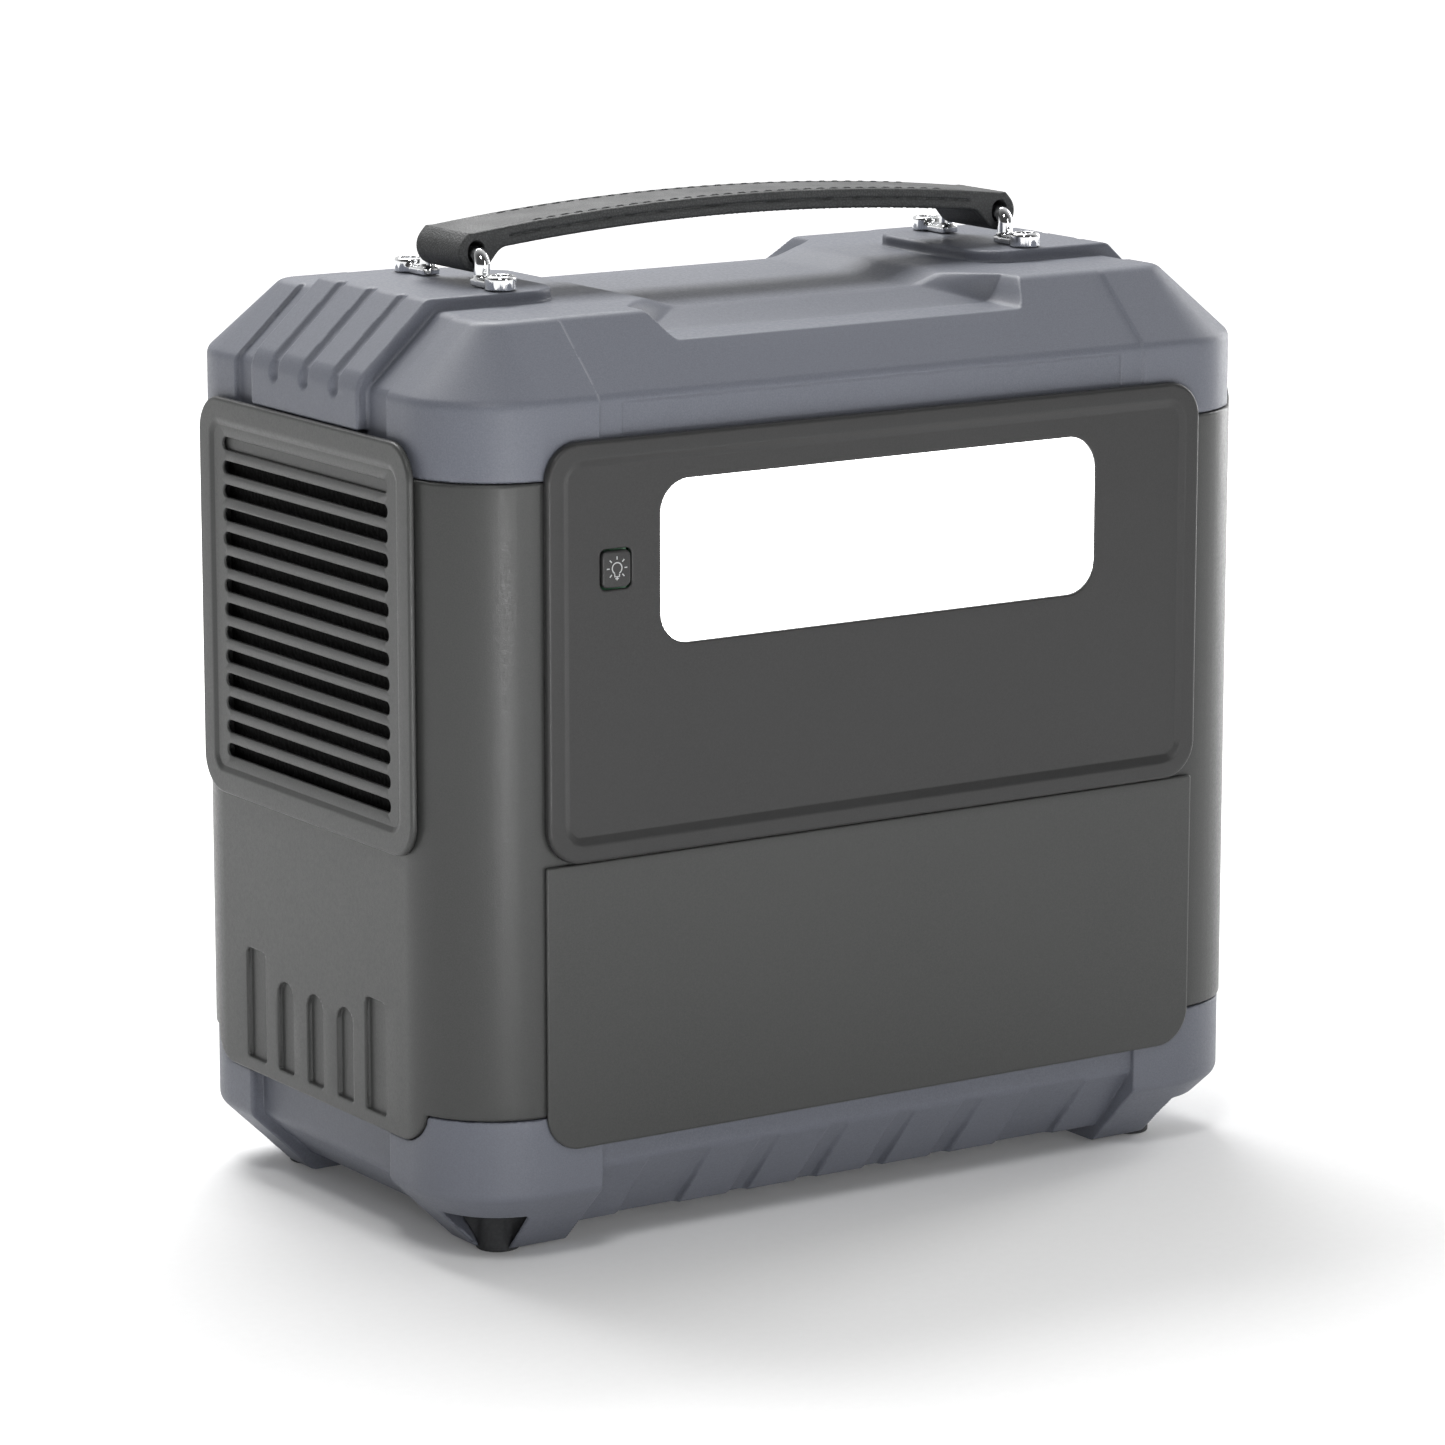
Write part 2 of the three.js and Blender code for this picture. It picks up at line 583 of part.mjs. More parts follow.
function heatSink() {
  const parts = [box([24, 100], [-45, 45], [121, 126])];
  for (let index = 0; index < 10; index += 1) {
    const y = -43.5 + index * (87 / 9);
    parts.push(box([24, 100], around(y, 2), [125, 158]));
  }
  return join(...parts);
}

function fanFrame(side) {
  const half = FAN.size / 2;
  const x = span(side, FAN.x, FAN.x + FAN.depth);
  const square = roundedRect([-half, half], [FAN.z - half, FAN.z + half], 4);
  const ringBody = cut(alongX(square, x, 3), rodX(0, FAN.z, FAN.bore, [-FAR, FAR], 24));
  const armX = span(side, FAN.x, FAN.x + 3);
  const arms = [
    box(armX, [-FAN.bore - 1, FAN.bore + 1], around(FAN.z, 4)),
    box(armX, [-2, 2], around(FAN.z, 2 * FAN.bore + 2)),
    rodX(0, FAN.z, FAN.hub, armX),
  ];
  return join(ringBody, ...arms);
}

function fanRotor(side) {
  const x = span(side, FAN.x + 4, FAN.x + FAN.depth - 1);
  const middle = side * (FAN.x + 13);
  const hub = rodX(0, FAN.z, FAN.hub, x, 14);
  const blades = [];
  for (let index = 0; index < 7; index += 1) {
    const blade = new THREE.BoxGeometry(1.6, 19, FAN.blade - 12).rotateZ(side * 0.6);
    blade.translate(0, 0, (FAN.blade + 12) / 2).rotateX(index * 2 * Math.PI / 7).translate(middle, 0, FAN.z);
    blades.push(solid(blade));
  }
  return join(hub, ...blades).intersect(rodX(0, FAN.z, FAN.blade, x, 28));
}

// ---- handle ----------------------------------------------------------------------------------------------

function handleBracket(side) {
  const x = side * POST_X;
  const base = PAD_TOP + GAP;
  const parts = [rodY(x, ROD_Z, ROD_R, [-POST_Y, POST_Y], 10)];
  const holes = [];
  for (const sy of SIDES) {
    parts.push(rodZ(x, sy * POST_Y, ROD_R, [base, ROD_Z], 10));
    parts.push(solid(new THREE.SphereGeometry(ROD_R, 8, 6).translate(x, sy * POST_Y, ROD_Z)));
    parts.push(box([x - 3, x + 3], span(sy, POST_Y - 2.5, EYE_Y), [base, base + 2.4]));
    parts.push(rodZ(x, sy * EYE_Y, EYE_R, [base, base + 4.4]));
    holes.push(rodZ(x, sy * EYE_Y, 3.4, [base + 1.6, base + 10]));
    holes.push(rodZ(x, sy * EYE_Y, 2.1, [base - 1, base + 10], 8));
  }
  return cut(join(...parts), ...holes);
}

function bracketScrew(x, y) {
  const base = PAD_TOP + GAP;
  const head = join(rodZ(x, y, 3.1, [base + 1.9, base + 3.9], 10), rodZ(x, y, 1.8, [284, base + 2.5], 6));
  return cut(head, rodZ(x, y, 1.4, [base + 2.7, base + 10], 6));
}

// the strap's upper line: level with the loops at its ends and highest in the middle
function strapTop(x) {
  const low = STRAP_END.z + STRAP_END.r;
  return low + (STRAP_TOP - low) * (1 - (x / STRAP_END.x) ** 2);
}

function strapOutline() {
  const steps = 14;
  const { x: endX, z: endZ, r } = STRAP_END;
  const outline = new THREE.Shape();
  outline.moveTo(-endX, endZ + r);
  for (let step = 1; step <= steps; step += 1) {
    const x = -endX + (2 * endX * step) / steps;
    outline.lineTo(x, strapTop(x));
  }
  outline.absarc(endX, endZ, r, Math.PI / 2, -Math.PI / 2, true);
  const inner = endX - 9;
  outline.lineTo(inner + 3, endZ - r);
  for (let step = 0; step <= steps; step += 1) {
    const x = inner - (2 * inner * step) / steps;
    const settle = 1 - Math.exp(-(inner - Math.abs(x)) / 6);
    outline.lineTo(x, endZ - r + 1 + (strapTop(x) - STRAP_T - endZ + r - 1) * (0.35 + 0.65 * settle));
  }
  outline.lineTo(-inner - 3, endZ - r);
  outline.lineTo(-endX, endZ - r);
  outline.absarc(-endX, endZ, r, 1.5 * Math.PI, Math.PI / 2, true);
  return outline;
}

function handleStrap() {
  const band = alongY(strapOutline(), [-STRAP_W / 2, STRAP_W / 2], 4);
  const holes = SIDES.map((side) => alongY(
    roundedRect(around(side * STRAP_END.x, 2 * ROD_R + 0.8), [ROD_Z - ROD_R - 0.4, ROD_Z + ROD_R + 1.7], 2.9),
    [-20, 20], 3));
  return cut(band, ...holes);
}

// ---- materials -------------------------------------------------------------------------------------------

function finish(color, roughness, metalness = 0) {
  return () => new THREE.MeshStandardMaterial({ color, roughness, metalness });
}

const SLATE = finish(0x737883, 0.55);
const CASE_GREY = finish(0x4a4b4a, 0.5);
const PANEL_GREY = finish(0x414241, 0.42);
const LEATHER = finish(0x2e2f30, 0.7);
const CHROME = finish(0xe4e6e8, 0.12, 1);
const STEEL = finish(0x8d9094, 0.35, 1);
const RUBBER = finish(0x232425, 0.85);
const DIFFUSER = finish(0xffffff, 0.3);
const BLACK = finish(0x1d1e1f, 0.5);
const GLASS = finish(0x0c0e10, 0.08);
const BOARD = finish(0x1d5236, 0.5);
const BATTERY_WRAP = finish(0x2c4f86, 0.45);
const ALUMINIUM = finish(0xb4b7ba, 0.35, 1);

// ---- assembly --------------------------------------------------------------------------------------------

const group = new THREE.Group();

function add(name, manifold, material) {
  const mesh = new THREE.Mesh(geometryOf(manifold), material());
  mesh.name = name;
  group.add(mesh);
}

add('top_cover', topCover(), SLATE);
add('bottom_cover', bottomCover(), SLATE);
add('main_shell', mainShell(), CASE_GREY);
add('lamp_panel', lampPanel(), PANEL_GREY);
add('lamp_diffuser', lampDiffuser(), DIFFUSER);
add('lamp_led_board', lampBoard(), BOARD);
add('lamp_button', lampButton(), BLACK);
add('lamp_switch_board', lampSwitchBoard(), BOARD);
add('lamp_skirt', skirt(-1), CASE_GREY);
add('control_panel', controlPanel(), PANEL_GREY);
add('control_skirt', skirt(1), CASE_GREY);
add('display_window', displayWindow(), GLASS);
add('display_module', displayModule(), BLACK);
add('control_board', controlBoard(), BOARD);
add('usb_block', usbBlock(), BLACK);
add('car_socket', carSocket(), BLACK);
add('dc_input', dcInput(), BLACK);
OUTLETS.forEach((place, index) => add(`ac_outlet_${index + 1}`, acOutlet(place), BLACK));
for (const [name, place] of Object.entries(ROUND_BUTTONS)) add(name, roundButton(place), BLACK);

for (const [word, side] of [['left', -1], ['right', 1]]) {
  add(`${word}_grille`, grille(side), CASE_GREY);
  add(`${word}_dust_filter`, dustFilter(side), RUBBER);
  add(`${word}_fan_frame`, fanFrame(side), BLACK);
  add(`${word}_fan_rotor`, fanRotor(side), BLACK);
  add(`${word}_handle_bracket`, handleBracket(side), CHROME);
  for (const [end, sy] of [['front', -1], ['back', 1]]) {
    add(`${word}_${end}_handle_screw`, bracketScrew(side * POST_X, sy * EYE_Y), STEEL);
    add(`${word}_${end}_foot`, foot(side, sy), RUBBER);
    add(`${word}_${end}_foot_screw`, footScrew(side, sy), STEEL);
  }
}

add('handle_strap', handleStrap(), LEATHER);
add('battery_pack', batteryPack(), BATTERY_WRAP);
add('battery_clamp', batteryClamp(), STEEL);
add('inner_tray', innerTray(), STEEL);
add('management_board', managementBoard(), BOARD);
add('inverter_board', inverterBoard(), BOARD);
add('heat_sink', heatSink(), ALUMINIUM);

export default group;
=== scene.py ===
# %% [markdown]
# # A portable power station
# The battery case, its panels and its strap handle are already designed as a CAD model, where every piece has
# its real size and place. This script gives that model its looks. Each cell makes one piece or one finish.

# %% Load the CAD frame
import json
import math

import bmesh
import bpy
import numpy as np
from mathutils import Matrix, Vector


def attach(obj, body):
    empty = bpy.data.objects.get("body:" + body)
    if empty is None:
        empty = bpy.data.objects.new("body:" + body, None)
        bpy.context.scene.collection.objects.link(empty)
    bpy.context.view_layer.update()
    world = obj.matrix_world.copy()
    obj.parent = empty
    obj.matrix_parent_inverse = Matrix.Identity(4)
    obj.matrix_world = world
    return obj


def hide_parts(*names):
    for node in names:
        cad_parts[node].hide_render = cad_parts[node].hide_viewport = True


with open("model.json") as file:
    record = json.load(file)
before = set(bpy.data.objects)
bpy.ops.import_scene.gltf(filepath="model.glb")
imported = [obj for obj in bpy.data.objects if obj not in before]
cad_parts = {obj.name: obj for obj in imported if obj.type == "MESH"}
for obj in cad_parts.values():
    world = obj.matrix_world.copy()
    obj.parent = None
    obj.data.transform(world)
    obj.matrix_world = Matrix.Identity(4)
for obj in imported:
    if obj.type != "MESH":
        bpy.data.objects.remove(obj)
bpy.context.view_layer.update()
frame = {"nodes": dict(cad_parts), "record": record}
MM = 0.001
print("CAD nodes:", len(frame["nodes"]))

# %% [markdown]
# ## Camera
# The camera comes first, because every later choice is judged through it. A long lens stands about two
# metres away, to the left of the lamp side and slightly above it, and looks at the middle of the case.

# %% Camera
CAMERA_AZIMUTH = math.radians(-33.33)
CAMERA_ELEVATION = math.radians(11.70)
CAMERA_DISTANCE = 1.9302
CAMERA_TARGET = Vector((0, 0, 144.7 * MM))
FOCAL_LENGTH, SENSOR_WIDTH = 145.09, 36


def add_camera():
    back = Vector((math.sin(CAMERA_AZIMUTH) * math.cos(CAMERA_ELEVATION),
                   -math.cos(CAMERA_AZIMUTH) * math.cos(CAMERA_ELEVATION),
                   math.sin(CAMERA_ELEVATION)))
    lens = bpy.data.cameras.new("camera")
    lens.sensor_width = SENSOR_WIDTH
    lens.lens = FOCAL_LENGTH
    lens.clip_end = 50
    camera = bpy.data.objects.new("camera", lens)
    camera.location = CAMERA_TARGET + back * CAMERA_DISTANCE
    camera.rotation_euler = back.to_track_quat("Z", "Y").to_euler()
    bpy.context.scene.collection.objects.link(camera)
    bpy.context.scene.camera = camera
    return camera


camera = add_camera()
print("camera at", [round(v, 3) for v in camera.location])

# %% [markdown]
# ## Finishes
# Every finish is a small node tree on the Principled shader. Patterns read Object coordinates, which are in
# metres here, so a noise scale of 2500 gives a grain of about 0.4 mm.

# %% Node helpers
class Tree:
    """Adds nodes to one material and links them by name."""

    def __init__(self, name):
        self.material = bpy.data.materials.new(name)
        self.material.use_nodes = True
        self.nodes = self.material.node_tree.nodes
        self.links = self.material.node_tree.links
        self.shader = self.nodes["Principled BSDF"]
        self.coords = self.nodes.new("ShaderNodeTexCoord").outputs["Object"]

    def add(self, kind, inputs=(), **settings):
        node = self.nodes.new(kind)
        for key, value in settings.items():
            setattr(node, key, value)
        for key, value in dict(inputs).items():
            if isinstance(value, bpy.types.NodeSocket):
                self.links.new(value, node.inputs[key])
            else:
                node.inputs[key].default_value = value
        return node

    def noise(self, scale, detail=2.0, roughness=0.5):
        return self.add("ShaderNodeTexNoise", {"Vector": self.coords, "Scale": scale, "Detail": detail,
                                               "Roughness": roughness}).outputs["Fac"]

    def spread(self, value, low, high, start=0.0, end=1.0):
        """Maps the range start..end to low..high."""
        return self.add("ShaderNodeMapRange", {"Value": value, "From Min": start, "From Max": end,
                                               "To Min": low, "To Max": high}).outputs["Result"]

    def mix(self, factor, first, second):
        node = self.nodes.new("ShaderNodeMix")
        node.data_type = "RGBA"
        self.links.new(factor, node.inputs[0])
        for socket, colour in ((node.inputs[6], first), (node.inputs[7], second)):
            if isinstance(colour, bpy.types.NodeSocket):
                self.links.new(colour, socket)
            else:
                socket.default_value = (*colour, 1)
        return node.outputs[2]

    def bump(self, height, distance, strength):
        return self.add("ShaderNodeBump", {"Height": height, "Distance": distance,
                                           "Strength": strength}).outputs["Normal"]

    def set(self, **sockets):
        for name, value in sockets.items():
            socket = self.shader.inputs[name.replace("_", " ")]
            if isinstance(value, bpy.types.NodeSocket):
                self.links.new(value, socket)
            else:
                socket.default_value = value
        return self.material


# %% Moulded plastics
PEBBLE_DEPTH = 0.06 * MM
PALER = 1.22


def moulded_plastic(name, base, shade, rough, grain=2300):
    """Spark-eroded plastic: a pebbled grain, a slow drift of tone and small changes of gloss."""
    tree = Tree(name)
    pebbles = tree.noise(grain, 3, 0.6)
    drift = tree.noise(9, 2)
    tone = tree.mix(tree.spread(drift, 0, 1, 0.3, 0.7), base, shade)
    speck = tree.spread(pebbles, 0, 1, 0.35, 0.75)
    colour = tree.mix(speck, tone, tuple(c * PALER for c in base))
    gloss = tree.spread(tree.noise(grain * 0.4, 2), rough - 0.05, rough + 0.07, 0.3, 0.7)
    return tree.set(Base_Color=colour, Roughness=gloss, Specular_IOR_Level=0.36,
                    Normal=tree.bump(pebbles, PEBBLE_DEPTH, 0.6))


slate_plastic = moulded_plastic("slate_plastic", (0.116, 0.123, 0.147), (0.104, 0.111, 0.133), 0.46)
case_plastic = moulded_plastic("case_plastic", (0.044, 0.045, 0.044), (0.039, 0.040, 0.039), 0.36)
panel_plastic = moulded_plastic("panel_plastic", (0.026, 0.026, 0.026), (0.022, 0.022, 0.022), 0.34)
black_plastic = moulded_plastic("black_plastic", (0.016, 0.016, 0.017), (0.013, 0.013, 0.014), 0.38, 3000)
print("plastics made")

# %% Metals, rubber, glass and boards
def polished_metal(name, base, rough):
    tree = Tree(name)
    cloud = tree.noise(180, 4)
    colour = tree.mix(cloud, base, tuple(c * 0.93 for c in base))
    return tree.set(Base_Color=colour, Metallic=1.0, Roughness=tree.spread(cloud, rough, rough + 0.05),
                    Normal=tree.bump(tree.noise(60, 2), 0.0001, 0.15))


def moulded_rubber():
    tree = Tree("moulded_rubber")
    dust = tree.noise(900, 4, 0.65)
    colour = tree.mix(tree.spread(dust, 0, 1, 0.4, 0.7), (0.026, 0.027, 0.029), (0.042, 0.043, 0.046))
    return tree.set(Base_Color=colour, Roughness=tree.spread(dust, 0.7, 0.9),
                    Normal=tree.bump(dust, 0.0001, 0.5))


def lit_lens():
    """The milky lens glows evenly, a little less close to where its LEDs don't reach."""
    tree = Tree("lit_lens")
    cloud = tree.noise(25, 2)
    strength = tree.spread(cloud, 2.2, 2.4)
    return tree.set(Base_Color=tree.mix(cloud, (0.95, 0.95, 0.95), (0.9, 0.9, 0.9)), Roughness=0.35,
                    Emission_Color=(1, 1, 1, 1), Emission_Strength=strength)


def circuit_board():
    tree = Tree("circuit_board")
    weave = tree.noise(1400, 2)
    tracks = tree.add("ShaderNodeTexBrick", {"Vector": tree.coords, "Scale": 300.0}).outputs["Fac"]
    mask = tree.mix(weave, (0.012, 0.085, 0.035), (0.02, 0.12, 0.05))
    colour = tree.mix(tracks, mask, (0.03, 0.16, 0.07))
    return tree.set(Base_Color=colour, Roughness=tree.spread(weave, 0.3, 0.45),
                    Normal=tree.bump(tracks, 0.00005, 0.4))


def battery_wrap():
    tree = Tree("battery_wrap")
    ripple = tree.noise(120, 3)
    colour = tree.mix(ripple, (0.02, 0.06, 0.2), (0.03, 0.09, 0.27))
    return tree.set(Base_Color=colour, Roughness=tree.spread(ripple, 0.3, 0.45),
                    Normal=tree.bump(ripple, 0.0004, 0.4))


def smoked_glass():
    tree = Tree("smoked_glass")
    haze = tree.noise(400, 2)
    return tree.set(Base_Color=tree.mix(haze, (0.006, 0.007, 0.009), (0.010, 0.011, 0.013)),
                    Roughness=tree.spread(haze, 0.05, 0.1), Coat_Weight=0.6)


def grained_leather():
    """Hide: rounded cells with creases between them, and a slow change of sheen."""
    tree = Tree("grained_leather")
    cells = tree.add("ShaderNodeTexVoronoi", {"Vector": tree.coords, "Scale": 900.0},
                     feature="DISTANCE_TO_EDGE").outputs["Distance"]
    crease = tree.spread(cells, 0, 1, 0.0, 0.22)
    # The creases are painted darker than the cells: painted shade in the creases.
    colour = tree.mix(crease, (0.022, 0.023, 0.023), (0.042, 0.044, 0.045))
    sheen = tree.spread(tree.noise(70, 3), 0.5, 0.66, 0.3, 0.7)
    return tree.set(Base_Color=colour, Roughness=sheen, Normal=tree.bump(crease, 0.00012, 0.55))


def twisted_thread():
    tree = Tree("twisted_thread")
    twist = tree.add("ShaderNodeTexWave", {"Vector": tree.coords, "Scale": 420.0, "Distortion": 1.5},
                     bands_direction="DIAGONAL").outputs["Fac"]
    # The grooves between the plies are painted darker than their ridges: painted shade in the grooves.
    colour = tree.mix(twist, (0.010, 0.010, 0.011), (0.05, 0.052, 0.054))
    return tree.set(Base_Color=colour, Roughness=tree.spread(twist, 0.55, 0.75),
                    Normal=tree.bump(twist, 0.00012, 0.7))


def filter_foam():
    """Open-cell foam: pores between thin struts. The pores are painted darker than the struts: painted shade
    in the pores.
    """
    tree = Tree("filter_foam")
    cells = tree.add("ShaderNodeTexVoronoi", {"Vector": tree.coords, "Scale": 520.0}).outputs["Distance"]
    # Painted shade: the colour darkens towards the middle of each pore.
    colour = tree.mix(cells, (0.004, 0.004, 0.004), (0.012, 0.012, 0.012))
    return tree.set(Base_Color=colour, Roughness=tree.spread(cells, 0.85, 1.0), Specular_IOR_Level=0.1,
                    Normal=tree.bump(cells, 0.0008, 0.8))


def printed_ink(name, base, glow=0.0):
    tree = Tree(name)
    wear = tree.noise(1500, 3)
    colour = tree.mix(wear, base, tuple(c * 0.85 for c in base))
    return tree.set(Base_Color=colour, Roughness=tree.spread(wear, 0.45, 0.6),
                    Emission_Color=colour, Emission_Strength=glow)


leather = grained_leather()
thread = twisted_thread()
foam = filter_foam()
pale_ink = printed_ink("pale_ink", (0.45, 0.46, 0.46))
display_light = printed_ink("display_light", (0.5, 0.75, 0.9), 1.2)
chrome = polished_metal("chrome", (0.86, 0.87, 0.88), 0.06)
zinc_steel = polished_metal("zinc_steel", (0.55, 0.56, 0.58), 0.28)
plain_aluminium = polished_metal("plain_aluminium", (0.68, 0.69, 0.70), 0.3)
rubber = moulded_rubber()
lens_glow = lit_lens()
board_green = circuit_board()
blue_wrap = battery_wrap()
display_glass = smoked_glass()
print("materials:", len(bpy.data.materials))

# %% [markdown]
# ## Studio
# A pale floor makes a plain product picture. The world is bright behind the case and dim behind the camera.
# Area lights stand in for soft boxes: their long reflections are what shows the roundness of dark plastic.

# %% Studio
def add_soft_box(name, place, target, size, power):
    lamp = bpy.data.lights.new(name, "AREA")
    lamp.shape = "RECTANGLE"
    lamp.size, lamp.size_y = size
    lamp.energy = power
    light = bpy.data.objects.new(name, lamp)
    light.location = place
    light.visible_camera = False
    light.rotation_euler = (Vector(place) - Vector(target)).to_track_quat("Z", "Y").to_euler()
    bpy.context.scene.collection.objects.link(light)


FLOOR_HALF = 6.0
GLOW_NEAR, GLOW_FAR = 0.05, 0.80


def add_floor():
    """White paper that glows a little, less so close to the case, where its shadow falls."""
    mesh = bpy.data.meshes.new("floor")
    corners = [(sx * FLOOR_HALF, sy * FLOOR_HALF, 0) for sx, sy in ((-1, -1), (1, -1), (1, 1), (-1, 1))]
    mesh.from_pydata(corners, [], [(0, 1, 2, 3)])
    tree = Tree("paper_floor")
    fibre = tree.noise(300, 3)
    away = tree.add("ShaderNodeVectorMath", {0: tree.coords}, operation="LENGTH").outputs["Value"]
    glow = tree.spread(away, GLOW_NEAR, GLOW_FAR, 0.30, 1.10)
    mesh.materials.append(tree.set(Base_Color=tree.mix(fibre, (0.86, 0.86, 0.86), (0.89, 0.89, 0.89)),
                                   Roughness=tree.spread(fibre, 0.85, 0.95), Specular_IOR_Level=0.0,
                                   Emission_Color=(1, 1, 1, 1), Emission_Strength=glow))
    floor = bpy.data.objects.new("floor", mesh)
    bpy.context.scene.collection.objects.link(floor)


def light_world(back, front):
    """Fades from the strength behind the case to the strength behind the camera."""
    world = bpy.data.worlds.new("studio")
    world.use_nodes = True
    nodes, links = world.node_tree.nodes, world.node_tree.links
    towards_camera = nodes.new("ShaderNodeVectorMath")
    towards_camera.operation = "DOT_PRODUCT"
    links.new(nodes.new("ShaderNodeTexCoord").outputs["Generated"], towards_camera.inputs[0])
    towards_camera.inputs[1].default_value = (math.sin(CAMERA_AZIMUTH), -math.cos(CAMERA_AZIMUTH), 0)
    fade = nodes.new("ShaderNodeMapRange")
    fade.interpolation_type = "SMOOTHSTEP"
    for socket, value in (("From Min", -0.75), ("From Max", 0.6), ("To Min", back), ("To Max", front)):
        fade.inputs[socket].default_value = value
    links.new(towards_camera.outputs["Value"], fade.inputs["Value"])
    links.new(fade.outputs["Result"], nodes["Background"].inputs["Strength"])
    nodes["Background"].inputs["Color"].default_value = (1, 1, 1, 1)
    bpy.context.scene.world = world


def around_case(azimuth, distance, height):
    """A place seen from the case: azimuth 0 is in front of the lamp side, positive towards +X."""
    angle = math.radians(azimuth)
    return (distance * math.sin(angle), -distance * math.cos(angle), height)


add_floor()
light_world(0.80, 0.06)
middle = (0, 0, 0.16)
add_soft_box("top_soft_box", (0.1, 0.75, 1.35), middle, (1.1, 0.7), 24)
add_soft_box("key_soft_box", around_case(-40, 1.1, 1.35), middle, (0.35, 0.35), 7)
add_soft_box("column_strip", around_case(11, 1.9, 0.45), middle, (0.16, 1.3), 7)
add_soft_box("front_strip", around_case(-24, 0.75, 0.10), (-0.12, -0.09, 0.08), (0.12, 0.12), 1.1)
add_soft_box("right_soft_box", around_case(100, 1.6, 0.5), middle, (0.5, 1.4), 16)
bpy.context.scene.view_settings.view_transform = "Standard"

# %% [markdown]
# ## Shapes from distance fields
# The covers are moulded: every edge has a radius and every step runs into the next one. Bevelling such a
# mesh by hand is slow. A distance field describes it instead: a function that is negative inside the part.
# Two fields meet with a rounded edge of a stated radius, and the skin of the part is where the field is zero.
# Lengths in the fields are millimetres.

# %% Fields
def meet(a, b, radius):
    """The overlap of two solids, with a round outer edge."""
    corner = np.hypot(np.maximum(a + radius, 0), np.maximum(b + radius, 0))
    return np.minimum(-radius, np.maximum(a, b)) + corner


def fuse(a, b, radius):
    """Both solids as one, with a round inner corner."""
    return -meet(-a, -b, radius)


def plan_outline(x, y, half_x, half_y, radius):
    """Distance to a rounded rectangle."""
    qx = np.abs(x) - (half_x - radius)
    qy = np.abs(y) - (half_y - radius)
    return np.hypot(np.maximum(qx, 0), np.maximum(qy, 0)) + np.minimum(np.maximum(qx, qy), 0) - radius


def patch(u, v, u_range, v_range, low_radius, high_radius=None):
    """Distance to a rounded rectangle given by two ranges; its upper corners may have their own radius."""
    middle_u, middle_v = sum(u_range) / 2, sum(v_range) / 2
    half_u, half_v = (u_range[1] - u_range[0]) / 2, (v_range[1] - v_range[0]) / 2
    radius = low_radius if high_radius is None else np.where(v > middle_v, high_radius, low_radius)
    return plan_outline(u - middle_u, v - middle_v, half_u, half_v, radius)


def between(value, low, high):
    return np.maximum(low - value, value - high)


def ease(t):
    """A smooth step from 0 to 1."""
    t = np.clip(t, 0, 1)
    return t * t * (3 - 2 * t)


def slanted(out, up, rise, inset):
    """Distance to a slope that leans in by inset over its rise."""
    return (out * rise + up * inset) / math.hypot(rise, inset)


def sloped_cap(x, y, z, half_x, half_y, radius, slope_z, flat_z, inset, edge):
    """A straight band that slopes in by inset up to a flat end at flat_z."""
    side = plan_outline(x, y, half_x, half_y, radius)
    up = 1 if flat_z > slope_z else -1
    slope = slanted(side, up * (z - slope_z), abs(flat_z - slope_z), inset)
    return meet(meet(side, slope, edge), up * (z - flat_z), edge)


# %% [markdown]
# ## From a field to a mesh
# A grid of cells fills the part's box. A cell that the skin passes through gets one point, and four cells
# round a crossed grid edge make one face. The points then slide along the field's slope onto the exact skin,
# so flat faces are truly flat and can be merged into a few large ones.

# %% Skin of a field
CELL_EDGES = [((0, 0, 0), 0), ((0, 1, 0), 0), ((0, 0, 1), 0), ((0, 1, 1), 0),
              ((0, 0, 0), 1), ((1, 0, 0), 1), ((0, 0, 1), 1), ((1, 0, 1), 1),
              ((0, 0, 0), 2), ((1, 0, 0), 2), ((0, 1, 0), 2), ((1, 1, 0), 2)]


SETTLE_ROUNDS = 4


def settle(field, points, step):
    """Slides points onto the zero surface along the field's slope."""
    reach = 0.05 * step
    for _ in range(SETTLE_ROUNDS):
        value = field(*points.T)
        slope = np.stack([(field(*(points + reach * axis).T) - field(*(points - reach * axis).T))
                          for axis in np.eye(3)], axis=1) / (2 * reach)
        move = slope * (value / np.maximum((slope ** 2).sum(axis=1), 0.1))[:, None]
        length = np.linalg.norm(move, axis=1, keepdims=True)
        points = points - move * np.minimum(1, 0.4 * step / np.maximum(length, 1e-9))
    return points


def grid_lines(low, high, step, thin=None):
    """Evenly spaced grid lines, closer together where a thin wall crosses the axis (both signs of it)."""
    lines = np.arange(low, high + step, step)
    if thin is None:
        return lines
    start, stop, fine = thin
    lines = lines[(np.abs(lines) < start - 0.3 * step) | (np.abs(lines) > stop + 0.3 * step)]
    close = np.arange(start, stop + fine / 2, fine)
    both = np.concatenate([lines, close, -close])
    return np.sort(both[(both >= low) & (both <= high + step)])


